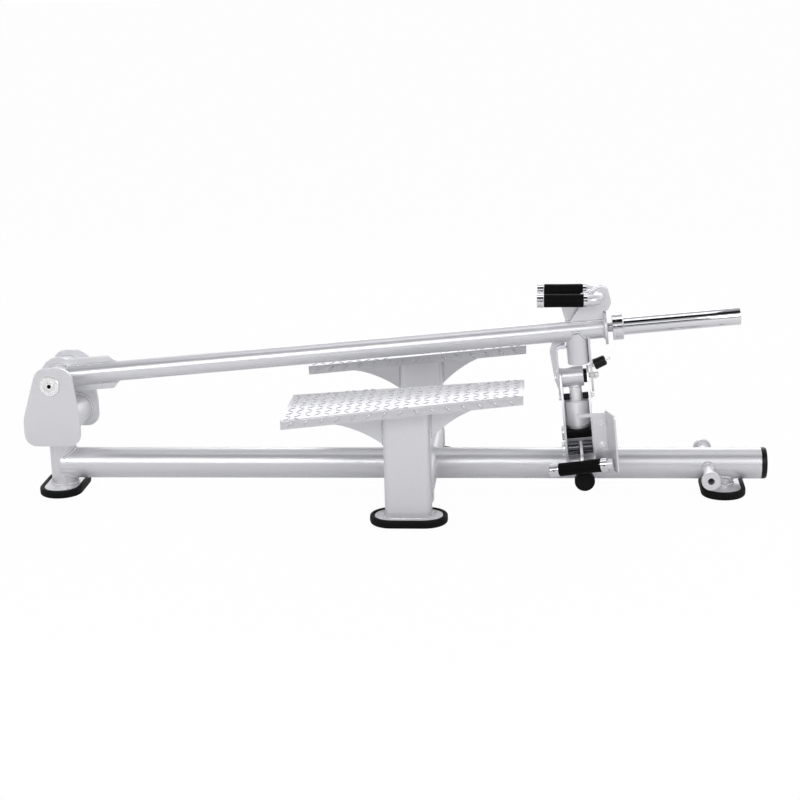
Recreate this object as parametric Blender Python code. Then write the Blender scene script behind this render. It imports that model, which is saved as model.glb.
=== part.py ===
# T-bar row machine: welded floor frame with two footplates, a pivoting lever with a rotating
# weight sleeve, two fixed close grips, and a swinging carriage that carries two lower grips.
# Metres, +X from the rear pivot towards the weight sleeve, +Z up, floor at Z = 0.
# The lever and everything on it is drawn in the lever's own frame: +X along the lever tube,
# +Z square to it, zero at the rear pivot. An empty at the pivot tilts it to its rest angle.

import math
import bmesh
import bpy
from mathutils import Matrix, Vector

# Clearances
GAP = 0.0003
RUN_FIT = 0.0003
WALL = 0.003

# Facets of round pieces
ROUND_LARGE = 24
ROUND_SMALL = 16
CORNER_STEPS = 4

# Floor frame
BASE_LENGTH = 2.014
BASE_RADIUS = 0.04445
BASE_HEIGHT = 0.0778
END_CAP_LENGTH = 0.016
END_CAP_PLUG = 0.030
REAR_POST_RADIUS = 0.038
CROSS_TUBE_RADIUS = 0.04445
CROSS_TUBE_FORWARD = 0.022
CROSS_TUBE_HEIGHT = 0.215
FRONT_STUB_BACK = 0.108
FRONT_STUB_RADIUS = 0.030

# Rear pivot
PIVOT_FORWARD = 0.0074
PIVOT_HEIGHT = 0.3388
PLATE_INNER = 0.103
PLATE_THICK = 0.010
PLATE_HALF_WIDTH = 0.0815
PLATE_SHIFT = 0.0045
PLATE_BOTTOM = 0.160
PLATE_SHOULDER = 0.240
PLATE_HEAD_RADIUS = 0.051
PLATE_HEAD_HALF = 0.050
PLATE_HEAD_SHIFT = 0.020
SHAFT_RADIUS = 0.015
HUB_RADIUS = 0.036
HUB_BORE = 0.024
HUB_HALF_LENGTH = 0.098
BUSHING_FLANGE_RADIUS = 0.028
PIVOT_CAP_RADIUS = 0.0295
PIVOT_CAP_THICK = 0.006
SCREW_HEAD_RADIUS = 0.0125
SCREW_HEAD_THICK = 0.004
SCREW_SOCKET_RADIUS = 0.006
SCREW_SOCKET_DEPTH = 0.003

# Feet
FOOT_LENGTH = 0.214
FOOT_WIDTH = 0.125
FOOT_HEIGHT = 0.022
FOOT_RIM = 0.013
FOOT_FLOOR = 0.010
FOOT_PLATE_THICK = 0.010

# Platforms and their posts
POST_FORWARD = 1.0345
POST_SIDE = 0.290
POST_WIDTH = 0.127
POST_DEPTH = 0.068
POST_CORNER = 0.018
CONNECTOR_HEIGHT = 0.076
PLATFORM_REAR = 0.711
PLATFORM_LENGTH = 0.639
PLATFORM_REAR_TOP = 0.3246
PLATFORM_SLOPE = math.radians(4.6)
PLATFORM_INNER_REAR = 0.156
PLATFORM_INNER_FRONT = 0.193
PLATFORM_OUTER_REAR = 0.421
PLATFORM_OUTER_FRONT = 0.364
PLATFORM_SKIRT = 0.025
PLATFORM_SHEET = 0.004
GUSSET_THICK = 0.008
GUSSET_REACH_REAR = 0.190
GUSSET_REACH_FRONT = 0.170
GUSSET_DEPTH_REAR = 0.1225
GUSSET_DEPTH_FRONT = 0.115
GUSSET_NOSE_REAR = 0.046
GUSSET_NOSE_FRONT = 0.035

# Band pegs and handle rests on the base tube
PEG_BACK = 0.152
PEG_HEIGHT = 0.0752
PEG_REACH = 0.165
PEG_RADIUS = 0.015
PEG_BORE = 0.0095
PEG_DISC_RADIUS = 0.026
PEG_DISC_THICK = 0.015
REST_FORWARD = 1.516
REST_HEIGHT = 0.0625
REST_REACH = 0.118
REST_ROOT = -0.010
REST_RADIUS = 0.0265
REST_CAP_RADIUS = 0.0285
REST_CAP_THICK = 0.012
REST_CAP_LIP = 0.010
BUMPER_START = 1.455
BUMPER_LENGTH = 0.104
BUMPER_THICK = 0.0040
BUMPER_HALF_ANGLE = math.radians(26)

# Lever, in its own frame
LEVER_ANGLE = math.radians(4.929)
LEVER_RADIUS = 0.0285
FLANGE_FACE = 1.5783
FLANGE_THICK = 0.008
FLANGE_RADIUS = 0.0475
GUSSET_PLATE_THICK = 0.010
GUSSET_PLATE_RADIUS = 0.056
GUSSET_PLATE_HALF = 0.048
GUSSET_PLATE_END = 0.172
GUSSET_PLATE_CHAMFER = 0.018

# Weight sleeve
SPINDLE_RADIUS = 0.013
SPINDLE_NECK = 0.0135
SPINDLE_HEAD_RADIUS = 0.017
SPINDLE_HEAD_THICK = 0.008
SLEEVE_RADIUS = 0.025
SLEEVE_BORE = 0.020
SLEEVE_LENGTH = 0.324
SLEEVE_COLLAR_RADIUS = 0.0375
SLEEVE_COLLAR_LENGTH = 0.030
SLEEVE_CAP_DEPTH = 0.010

# Upper close grips
UPPER_GRIP_SIDE = 0.068
UPPER_BAR_RADIUS = 0.0155
UPPER_BAR_FORWARD = 1.560
UPPER_BAR_RISE = 0.0938
UPPER_BAR_BEND = 0.028
UPPER_GRIP_LENGTH = 0.108
UPPER_GRIP_GAP = 0.002
UPPER_COLLAR_REAR = 0.019
UPPER_COLLAR_FRONT = 0.012
GRIP_RADIUS = 0.0185
GRIP_COLLAR_RADIUS = 0.0195
BRACKET_OFFSET = 0.006
BRACKET_THICK = 0.008
BRACKET_HEAD_RADIUS = 0.034
NEAR_BRACKET_REACH = 0.092
FAR_BRACKET_REACH = 0.107
FAR_BRACKET_FOOT = 0.095
FAR_BRACKET_DROP = 0.016

# Neck and hangers under the lever
NECK_FORWARD = 1.490
NECK_RADIUS = 0.0305
NECK_BOTTOM = -0.0945
HANGER_HALF_WIDTH = 0.022
HANGER_THICK = 0.006
HANGER_BOTTOM = -0.180
LEFT_HANGER_TOP = -0.040
LEFT_HANGER_BEND = 0.012
RIB_OFFSET = 0.012
RIB_THICK = 0.008
RIB_WIDTH = 0.016
SWING_HEIGHT = -0.1325
SWING_BOLT_RADIUS = 0.008
SWING_HEAD_RADIUS = 0.0115
SWING_HEAD_THICK = 0.008
SWING_NUT_THICK = 0.014

# Swinging carriage
FORK_INNER_LEFT = 1.4395
FORK_INNER_RIGHT = 1.510
FORK_THICK = 0.006
FORK_TOP_RADIUS = 0.0295
FORK_HALF_WIDTH = 0.100
FORK_WIDE_DEPTH = 0.153
FORK_LEG_DEPTH = 0.240
FORK_NOTCH_HALF = 0.060
CARRIAGE_HUB_RADIUS = 0.0285
CARRIAGE_HUB_LENGTH = 0.0602
CARRIAGE_SPINDLE_RADIUS = 0.0178
HUB_SPACER_RADIUS = 0.020
HOUSING_RADIUS = 0.0345
HOUSING_TOP = -0.2005
HOUSING_LENGTH = 0.0715
HOUSING_RING_LENGTH = 0.008
HOUSING_RING_RADIUS = 0.030
CROSS_BOLT_HEIGHT = -0.1905
CROSS_BOLT_RADIUS = 0.005
CROSS_BOLT_HEAD = 0.009
CROSS_BOLT_HEAD_THICK = 0.007
CROSS_BOLT_NUT = 0.008
STOP_PAD_HALF = 0.048
STOP_PAD_THICK = 0.020
YOKE_THICK = 0.009

# Arms that carry the lower grips
ARM_AXLE_SIDE = 0.080
ARM_AXLE_HEIGHT = -0.319
ARM_AXLE_RADIUS = 0.007
ARM_AXLE_HEAD = 0.022
ARM_AXLE_HEAD_THICK = 0.010
ARM_AXLE_NUT = 0.011
ARM_BOSS_RADIUS = 0.019
ARM_LUG_FORWARD = 1.4775
ARM_LUG_THICK = 0.008
ARM_LUG_OVERLAP = 0.010
ARM_PLATE_SIDE = 0.146
ARM_PLATE_THICK = 0.008
ARM_PLATE_TOP = -0.2045
ARM_PLATE_END = 1.5555
ARM_PLATE_WIDTH = 0.041
ARM_TAB_HEIGHT = 0.008
ARM_TIE_HEIGHT = 0.012
ARM_TIE_CLEAR = 0.0355
ARM_TIE_LOW = -0.350
FAR_ARM_DROP = math.radians(57)
FLANGE_SIDE = 0.216
FLANGE_LEAN = 0.0225
FLANGE_PLATE_THICK = 0.006
FLANGE_TOP = -0.1965
FLANGE_LOW = -0.3615
LOWER_GRIP_SIDE = 0.1432
LOWER_GRIP_HEIGHT = -0.3603
LOWER_GRIP_START = 1.3886
LOWER_GRIP_YAW = math.radians(17.3)
LOWER_GRIP_PITCH = math.radians(7.1)
LOWER_COLLAR_REAR = 0.027
LOWER_GRIP_LENGTH = 0.122
LOWER_COLLAR_FRONT = 0.019
LOWER_BAR_RADIUS = 0.0155

# Pull pin on the right hanger
PIN_ANGLE = math.radians(20)
PIN_HEIGHT = -0.1070
PIN_RADIUS = 0.005
PIN_STEM_RADIUS = 0.0032
PIN_STEM_LENGTH = 0.013
PIN_BARREL_RADIUS = 0.0085
PIN_BARREL_LENGTH = 0.022
KNOB_BASE_RADIUS = 0.0158
KNOB_TIP_RADIUS = 0.0145
KNOB_LENGTH = 0.035
KNOB_END_WALL = 0.008
PIN_TRAVEL = 0.008

# Colours: base colour, metallic, roughness
FINISHES = {
    "silver_coat": ((0.60, 0.61, 0.64), 0.45, 0.38),
    "chrome": ((0.80, 0.80, 0.82), 1.0, 0.08),
    "zinc": ((0.72, 0.72, 0.70), 1.0, 0.28),
    "steel": ((0.50, 0.50, 0.52), 1.0, 0.35),
    "black_rubber": ((0.012, 0.012, 0.013), 0.0, 0.75),
    "black_plastic": ((0.015, 0.015, 0.017), 0.0, 0.45),
    "bronze": ((0.45, 0.30, 0.14), 1.0, 0.35),
}

# The origin stands under the middle of the whole length
REAR_X = -(BASE_LENGTH + END_CAP_LENGTH + PLATE_SHIFT - PLATE_HALF_WIDTH) / 2
FRONT_STUB_X = REAR_X + BASE_LENGTH - FRONT_STUB_BACK
PIVOT_X = REAR_X + PIVOT_FORWARD
FOOT_TOP = FOOT_FLOOR + GAP + FOOT_PLATE_THICK
SLEEVE_START = FLANGE_FACE + SPINDLE_NECK
SLEEVE_END = SLEEVE_START + SLEEVE_COLLAR_LENGTH + SLEEVE_LENGTH
FORK_MIDDLE = (FORK_INNER_LEFT + FORK_INNER_RIGHT) / 2
HANGER_LEFT_FACE = FORK_INNER_LEFT - FORK_THICK - GAP
HANGER_RIGHT_FACE = NECK_FORWARD + NECK_RADIUS + GAP

frames = {"base": (None, Vector((0, 0, 0)))}
materials = {}


def clear_scene():
    for thing in list(bpy.data.objects):
        bpy.data.objects.remove(thing, do_unlink=True)


def make_materials():
    for name, (colour, metallic, roughness) in FINISHES.items():
        material = bpy.data.materials.new(name)
        material.use_nodes = True
        shader = material.node_tree.nodes["Principled BSDF"]
        shader.inputs["Base Color"].default_value = (*colour, 1)
        shader.inputs["Metallic"].default_value = metallic
        shader.inputs["Roughness"].default_value = roughness
        materials[name] = material


def make_frame(name, parent, place, tilt=0.0):
    # An empty on a joint's axis. place is in the lever's frame, or in the world for the lever.
    empty = bpy.data.objects.new(name + "_axis", None)
    empty.empty_display_size = 0.05
    bpy.context.scene.collection.objects.link(empty)
    parent_empty, parent_place = frames[parent]
    empty.parent = parent_empty
    if parent == "base":
        empty.location = place
        frames[name] = (empty, Vector((0, 0, 0)))
    else:
        empty.location = Vector(place) - parent_place
        frames[name] = (empty, Vector(place))
    empty.rotation_euler = (0, -tilt, 0)


def finish(name, bm, finish_name, frame):
    # Turns a bmesh, drawn in the lever's or the world's numbers, into an object on its frame.
    bmesh.ops.remove_doubles(bm, verts=bm.verts, dist=0.000001)
    bmesh.ops.recalc_face_normals(bm, faces=bm.faces)
    empty, place = frames[frame]
    bmesh.ops.translate(bm, verts=bm.verts, vec=-place)
    mesh = bpy.data.meshes.new(name)
    bm.to_mesh(mesh)
    bm.free()
    mesh.materials.append(materials[finish_name])
    mesh.shade_smooth()
    mesh.set_sharp_from_angle(angle=math.radians(35))
    thing = bpy.data.objects.new(name, mesh)
    thing.parent = empty
    bpy.context.scene.collection.objects.link(thing)
    return thing


def boolean(thing, bm, frame, operation):
    # Joins the shape in bm to the object, or takes it away.
    tool = finish(thing.name + "_" + operation.lower(), bm, "steel", frame)
    tool.hide_render = True
    tool.display_type = "WIRE"
    modifier = thing.modifiers.new(operation.lower(), "BOOLEAN")
    modifier.operation = operation
    modifier.solver = "EXACT"
    modifier.object = tool


def cut(thing, bm, frame):
    boolean(thing, bm, frame, "DIFFERENCE")


def join(thing, bm, frame):
    boolean(thing, bm, frame, "UNION")


def place_point(axis, along, first, second):
    # Turns (along, first, second) into x, y, z for a piece that lies along one axis.
    if axis == "X":
        return Vector((along, first, second))
    if axis == "Y":
        return Vector((first, along, second))
    return Vector((first, second, along))


def add_turned(bm, axis, centre, profile, steps=ROUND_LARGE):
    # Turns a profile of (along, radius) points. One that starts and ends on the axis is solid,
    # any other is closed into a ring.
    solid = profile[0][1] == 0
    rings = []
    for along, radius in profile:
        if radius == 0:
            rings.append([bm.verts.new(place_point(axis, along, *centre))])
            continue
        ring = []
        for step in range(steps):
            angle = 2 * math.pi * step / steps
            first = centre[0] + radius * math.cos(angle)
            second = centre[1] + radius * math.sin(angle)
            ring.append(bm.verts.new(place_point(axis, along, first, second)))
        rings.append(ring)
    pairs = list(zip(rings, rings[1:]))
    if not solid:
        pairs.append((rings[-1], rings[0]))
    for low, high in pairs:
        for step in range(steps):
            after = (step + 1) % steps
            corners = [low[step % len(low)], low[after % len(low)]]
            corners += [high[after % len(high)], high[step % len(high)]]
            bm.faces.new(list(dict.fromkeys(corners)))


def add_rod(bm, axis, centre, low, high, radius, steps=ROUND_LARGE):
    add_turned(bm, axis, centre, [(low, 0), (low, radius), (high, radius), (high, 0)], steps)


def add_tube(bm, axis, centre, low, high, radius, bore, steps=ROUND_LARGE):
    add_turned(bm, axis, centre, [(low, bore), (low, radius), (high, radius), (high, bore)], steps)


def rod(axis, centre, low, high, radius, steps=ROUND_LARGE):
    bm = bmesh.new()
    add_rod(bm, axis, centre, low, high, radius, steps)
    return bm


def tube(axis, centre, low, high, radius, bore, steps=ROUND_LARGE):
    bm = bmesh.new()
    add_tube(bm, axis, centre, low, high, radius, bore, steps)
    return bm


def add_prism(bm, axis, outline, low, high):
    # Extrudes an outline of (first, second) points along an axis.
    near = [bm.verts.new(place_point(axis, low, *point)) for point in outline]
    far = [bm.verts.new(place_point(axis, high, *point)) for point in outline]
    bm.faces.new(near)
    bm.faces.new(list(reversed(far)))
    for index in range(len(outline)):
        after = (index + 1) % len(outline)
        bm.faces.new([near[index], far[index], far[after], near[after]])


def prism(axis, outline, low, high):
    bm = bmesh.new()
    add_prism(bm, axis, outline, low, high)
    return bm


def box_outline(first_low, first_high, second_low, second_high):
    return [
        (first_low, second_low),
        (first_high, second_low),
        (first_high, second_high),
        (first_low, second_high),
    ]


def arc(centre, radius, start, end, steps):
    # Points on an arc, with its angles in radians.
    points = []
    for step in range(steps + 1):
        angle = start + (end - start) * step / steps
        points.append((centre[0] + radius * math.cos(angle), centre[1] + radius * math.sin(angle)))
    return points


def rounded(corners, steps=CORNER_STEPS):
    # Rounds the corners of an outline. Each corner is (first, second, radius).
    points = []
    count = len(corners)
    for index, (first, second, radius) in enumerate(corners):
        here = Vector((first, second))
        if radius == 0:
            points.append((first, second))
            continue
        before = Vector(corners[index - 1][:2]) - here
        after = Vector(corners[(index + 1) % count][:2]) - here
        before.normalize()
        after.normalize()
        half = before.angle(after) / 2
        reach = radius / math.tan(half)
        middle = here + (before + after).normalized() * radius / math.sin(half)
        start = here + before * reach - middle
        swing = start.angle_signed(here + after * reach - middle)
        for step in range(steps + 1):
            turn = -swing * step / steps
            x = start.x * math.cos(turn) - start.y * math.sin(turn)
            y = start.x * math.sin(turn) + start.y * math.cos(turn)
            points.append((middle.x + x, middle.y + y))
    return points


def rounded_box(first, second, width, depth, radius):
    x0, x1 = first - width / 2, first + width / 2
    y0, y1 = second - depth / 2, second + depth / 2
    return rounded([(x0, y0, radius), (x1, y0, radius), (x1, y1, radius), (x0, y1, radius)])


def obround(first, second, length, width, along_first):
    # An outline with two round ends.
    radius = width / 2
    reach = length / 2 - radius
    steps = ROUND_LARGE // 2
    if along_first:
        right = arc((first + reach, second), radius, -math.pi / 2, math.pi / 2, steps)
        left = arc((first - reach, second), radius, math.pi / 2, 3 * math.pi / 2, steps)
        return right + left
    upper = arc((first, second + reach), radius, 0, math.pi, steps)
    lower = arc((first, second - reach), radius, math.pi, 2 * math.pi, steps)
    return upper + lower


def sides(near, far):
    # A low and a high value on the near side, and their mirror on the far side.
    return (("near", -far, -near), ("far", near, far))


# Floor frame

BASE_AXIS = (0, BASE_HEIGHT)
PEG_AXIS = (REAR_X + BASE_LENGTH - PEG_BACK, PEG_HEIGHT)
REST_AXIS = (REAR_X + REST_FORWARD, REST_HEIGHT)


def base_cutter(low, high):
    return rod("X", BASE_AXIS, low, high, BASE_RADIUS + GAP)


def make_base():
    end = REAR_X + BASE_LENGTH
    bm = tube("X", BASE_AXIS, REAR_X, end, BASE_RADIUS, BASE_RADIUS - WALL)
    base = finish("base_tube", bm, "silver_coat", "base")
    cut(base, rod("Z", (REAR_X, 0), 0, PLATE_BOTTOM, REAR_POST_RADIUS + GAP), "base")
    through = BASE_RADIUS * 2
    cut(base, rod("Y", PEG_AXIS, -through, through, PEG_RADIUS + GAP, ROUND_SMALL), "base")
    cut(base, rod("Y", REST_AXIS, -through, 0, REST_RADIUS + GAP), "base")

    inner = BASE_RADIUS - WALL - GAP
    dome = END_CAP_LENGTH / 3
    profile = [
        (end - END_CAP_PLUG, 0),
        (end - END_CAP_PLUG, inner),
        (end + GAP, inner),
        (end + GAP, BASE_RADIUS),
        (end + END_CAP_LENGTH - dome, BASE_RADIUS),
        (end + END_CAP_LENGTH - dome * 0.3, BASE_RADIUS - dome * 0.5),
        (end + END_CAP_LENGTH, BASE_RADIUS - dome * 1.6),
        (end + END_CAP_LENGTH, 0),
    ]
    bm = bmesh.new()
    add_turned(bm, "X", BASE_AXIS, profile)
    finish("base_end_cap", bm, "black_plastic", "base")


def make_rear_post():
    centre = (REAR_X, 0)
    bm = tube("Z", centre, FOOT_FLOOR + FOOT_PLATE_THICK / 2, CROSS_TUBE_HEIGHT,
              REAR_POST_RADIUS, REAR_POST_RADIUS - WALL)
    post = finish("rear_post", bm, "silver_coat", "base")
    join(post, foot_plate(REAR_X, 0, False), "base")
    cross_axis = (REAR_X + CROSS_TUBE_FORWARD, CROSS_TUBE_HEIGHT)
    reach = PLATE_INNER - GAP
    cut(post, rod("Y", cross_axis, -reach, reach, CROSS_TUBE_RADIUS + GAP), "base")
    bm = tube("Y", cross_axis, -reach, reach, CROSS_TUBE_RADIUS, CROSS_TUBE_RADIUS - WALL)
    finish("rear_cross_tube", bm, "silver_coat", "base")


def make_pivot():
    pivot = (PIVOT_X, PIVOT_HEIGHT)
    top = PIVOT_HEIGHT + PLATE_HEAD_RADIUS
    middle, head = REAR_X + PLATE_SHIFT, REAR_X + PLATE_HEAD_SHIFT
    outline = rounded([
        (middle - PLATE_HALF_WIDTH, PLATE_BOTTOM, 0.036),
        (middle + PLATE_HALF_WIDTH, PLATE_BOTTOM, 0.036),
        (middle + PLATE_HALF_WIDTH, PLATE_SHOULDER, 0.110),
        (head + PLATE_HEAD_HALF, top, 0.040),
        (head - PLATE_HEAD_HALF, top, 0.040),
        (middle - PLATE_HALF_WIDTH, PLATE_SHOULDER, 0.110),
    ], 6)
    outer = PLATE_INNER + PLATE_THICK
    for name, low, high in sides(PLATE_INNER, outer):
        bm = prism("Y", outline, low, high)
        plate = finish("pivot_plate_" + name, bm, "silver_coat", "base")
        bm = rod("Y", pivot, low - PLATE_THICK, high + PLATE_THICK, SHAFT_RADIUS + RUN_FIT)
        cut(plate, bm, "base")

    # The shaft has a flanged head on the near side, and a cap of the same shape on the far side
    profile = cap_profile(-1)[1:]
    bm = bmesh.new()
    add_turned(bm, "Y", pivot, [(outer, 0), (outer, SHAFT_RADIUS), (-outer - GAP, SHAFT_RADIUS)]
               + profile)
    finish("pivot_shaft", bm, "zinc", "base")
    bm = bmesh.new()
    add_turned(bm, "Y", pivot, [(outer + GAP, 0)] + cap_profile(1)[1:])
    finish("pivot_cap_far", bm, "zinc", "base")


def cap_profile(side):
    # A washer with a chamfered rim and a socket screw in its middle.
    face = PLATE_INNER + PLATE_THICK + GAP
    rim = PIVOT_CAP_THICK * 0.35
    deep = PIVOT_CAP_THICK + SCREW_HEAD_THICK * 0.4
    return [
        (side * face, SHAFT_RADIUS),
        (side * face, PIVOT_CAP_RADIUS),
        (side * (face + PIVOT_CAP_THICK - rim), PIVOT_CAP_RADIUS),
        (side * (face + PIVOT_CAP_THICK), PIVOT_CAP_RADIUS - rim),
        (side * (face + PIVOT_CAP_THICK), SCREW_HEAD_RADIUS),
        (side * (face + deep), SCREW_HEAD_RADIUS - rim / 2),
        (side * (face + deep), SCREW_SOCKET_RADIUS),
        (side * (face + deep - SCREW_SOCKET_DEPTH), SCREW_SOCKET_RADIUS),
        (side * (face + deep - SCREW_SOCKET_DEPTH), 0),
    ]


def foot_plate(x, y, along_first):
    # The steel plate under a post, which lies in the pocket of its rubber foot.
    inset = 2 * (FOOT_RIM + GAP)
    outline = obround(x, y, FOOT_LENGTH - inset, FOOT_WIDTH - inset, along_first)
    return prism("Z", outline, FOOT_FLOOR + GAP, FOOT_TOP)


def make_feet():
    places = {
        "rear_foot": (REAR_X, 0, False),
        "front_foot": (FRONT_STUB_X, 0, False),
        "near_foot": (REAR_X + POST_FORWARD, -POST_SIDE, True),
        "far_foot": (REAR_X + POST_FORWARD, POST_SIDE, True),
    }
    for name, (x, y, along) in places.items():
        bm = prism("Z", obround(x, y, FOOT_LENGTH, FOOT_WIDTH, along), 0, FOOT_HEIGHT)
        foot = finish(name, bm, "black_rubber", "base")
        inset = 2 * FOOT_RIM
        outline = obround(x, y, FOOT_LENGTH - inset, FOOT_WIDTH - inset, along)
        cut(foot, prism("Z", outline, FOOT_FLOOR, FOOT_HEIGHT * 2), "base")


def make_base_fittings():
    x = FRONT_STUB_X
    bm = tube("Z", (x, 0), FOOT_FLOOR + FOOT_PLATE_THICK / 2, BASE_HEIGHT, FRONT_STUB_RADIUS,
              FRONT_STUB_RADIUS - WALL)
    stub = finish("front_stub", bm, "silver_coat", "base")
    join(stub, foot_plate(x, 0, False), "base")
    cut(stub, base_cutter(x - FOOT_WIDTH, x + FOOT_WIDTH), "base")

    # One tube runs through the base tube, with a disc at each end
    neck = PEG_REACH - PEG_DISC_THICK
    profile = [
        (-PEG_REACH, PEG_BORE),
        (-PEG_REACH, PEG_DISC_RADIUS),
        (-neck, PEG_DISC_RADIUS),
        (-neck, PEG_RADIUS),
        (neck, PEG_RADIUS),
        (neck, PEG_DISC_RADIUS),
        (PEG_REACH, PEG_DISC_RADIUS),
        (PEG_REACH, PEG_BORE),
    ]
    bm = bmesh.new()
    add_turned(bm, "Y", PEG_AXIS, profile, ROUND_SMALL)
    finish("band_peg", bm, "silver_coat", "base")

    # The near grip comes down over a short tube with a soft cap
    bm = tube("Y", REST_AXIS, -REST_REACH, REST_ROOT, REST_RADIUS, REST_RADIUS - WALL)
    finish("handle_rest_tube", bm, "silver_coat", "base")
    profile = [
        (-REST_REACH - GAP, 0),
        (-REST_REACH - GAP, REST_RADIUS + GAP),
        (-REST_REACH + REST_CAP_LIP, REST_RADIUS + GAP),
        (-REST_REACH + REST_CAP_LIP, REST_CAP_RADIUS),
        (-REST_REACH - REST_CAP_THICK * 0.7, REST_CAP_RADIUS),
        (-REST_REACH - REST_CAP_THICK, REST_CAP_RADIUS * 0.86),
        (-REST_REACH - REST_CAP_THICK, 0),
    ]
    bm = bmesh.new()
    add_turned(bm, "Y", REST_AXIS, profile)
    finish("handle_rest_cap", bm, "black_rubber", "base")

    inner = BASE_RADIUS + GAP
    start, end = math.pi / 2 - BUMPER_HALF_ANGLE, math.pi / 2 + BUMPER_HALF_ANGLE
    outline = arc(BASE_AXIS, inner + BUMPER_THICK, start, end, 12)
    outline += arc(BASE_AXIS, inner, end, start, 12)
    x = REAR_X + BUMPER_START
    finish("base_bumper", prism("X", outline, x, x + BUMPER_LENGTH), "black_rubber", "base")


# Platforms

def platform_top(x):
    return PLATFORM_REAR_TOP + (x - REAR_X - PLATFORM_REAR) * math.tan(PLATFORM_SLOPE)


def make_platforms():
    rear = REAR_X + PLATFORM_REAR
    ends = [
        (rear, PLATFORM_INNER_REAR, PLATFORM_OUTER_REAR),
        (rear + PLATFORM_LENGTH, PLATFORM_INNER_FRONT, PLATFORM_OUTER_FRONT),
    ]
    for name, side in (("platform_near", -1), ("platform_far", 1)):
        bm = bmesh.new()
        sections = []
        for x, inner, outer in ends:
            top = platform_top(x)
            low = top - PLATFORM_SKIRT
            under = top - PLATFORM_SHEET
            inside, outside = inner + PLATFORM_SHEET, outer - PLATFORM_SHEET
            profile = [
                (outer, low), (outer, top), (inner, top), (inner, low),
                (inside, low), (inside, under), (outside, under), (outside, low),
            ]
            sections.append([bm.verts.new((x, side * y, z)) for y, z in profile])
        first, last = sections
        bm.faces.new(first)
        bm.faces.new(list(reversed(last)))
        for index in range(len(first)):
            after = (index + 1) % len(first)
            bm.faces.new([first[index], last[index], last[after], first[after]])
        finish(name, bm, "silver_coat", "base")


def make_posts():
    x = REAR_X + POST_FORWARD
    left, right = x - POST_WIDTH / 2, x + POST_WIDTH / 2
    high = platform_top(right) + 0.05
    under = PLATFORM_SHEET + GAP
    slope = [
        (left - 0.02, platform_top(left - 0.02) - under),
        (right + 0.02, platform_top(right + 0.02) - under),
        (right + 0.02, high),
        (left - 0.02, high),
    ]
    rear = gusset_outline(left, -GUSSET_REACH_REAR, GUSSET_DEPTH_REAR, GUSSET_NOSE_REAR)
    front = gusset_outline(right, GUSSET_REACH_FRONT, GUSSET_DEPTH_FRONT, GUSSET_NOSE_FRONT)
    inside = 2 * WALL
    half = GUSSET_THICK / 2
    for name, side in (("near", -1), ("far", 1)):
        y = side * POST_SIDE
        outline = rounded_box(x, y, POST_WIDTH, POST_DEPTH, POST_CORNER)
        low = FOOT_FLOOR + FOOT_PLATE_THICK / 2
        post = finish("platform_post_" + name, prism("Z", outline, low, platform_top(right)),
                      "silver_coat", "base")
        cut(post, prism("Y", slope, y - POST_DEPTH, y + POST_DEPTH), "base")
        outline = rounded_box(x, y, POST_WIDTH - inside, POST_DEPTH - inside, POST_CORNER - WALL)
        cut(post, prism("Z", outline, low - 0.01, high), "base")
        join(post, foot_plate(x, y, True), "base")
        join(post, prism("Y", rear, y - half, y + half), "base")
        join(post, prism("Y", front, y - half, y + half), "base")

    # The connectors are the same tube laid flat between the posts and the base tube
    inner = POST_SIDE - POST_DEPTH / 2 - GAP
    for name, low, high in sides(0.02, inner):
        outline = rounded_box(x, BASE_HEIGHT, POST_WIDTH, CONNECTOR_HEIGHT, POST_CORNER)
        thing = finish("post_connector_" + name, prism("Y", outline, low, high), "silver_coat",
                       "base")
        cut(thing, base_cutter(left - 0.02, right + 0.02), "base")
        outline = rounded_box(x, BASE_HEIGHT, POST_WIDTH - inside, CONNECTOR_HEIGHT - inside,
                              POST_CORNER - WALL)
        cut(thing, prism("Y", outline, low - 0.01, high + 0.01), "base")


def gusset_outline(post_x, reach, depth, nose):
    # A plate under the platform with a hollow lower edge. reach is signed, away from the post.
    start = post_x - math.copysign(WALL / 2, reach)
    tip = post_x + reach
    points = []
    for x, deep in ((start, 0), (tip, 0)):
        points.append((x, platform_top(x) - PLATFORM_SHEET - GAP - deep))
    for step in range(9):
        part = step / 8
        x = tip + (start - tip) * part
        deep = nose + (depth - nose) * part * part
        points.append((x, platform_top(x) - PLATFORM_SHEET - GAP - deep))
    return points





# Lever

LEVER_AXIS = (0, 0)


def lever_cutter(low, high):
    return rod("X", LEVER_AXIS, low, high, LEVER_RADIUS + GAP)


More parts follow.
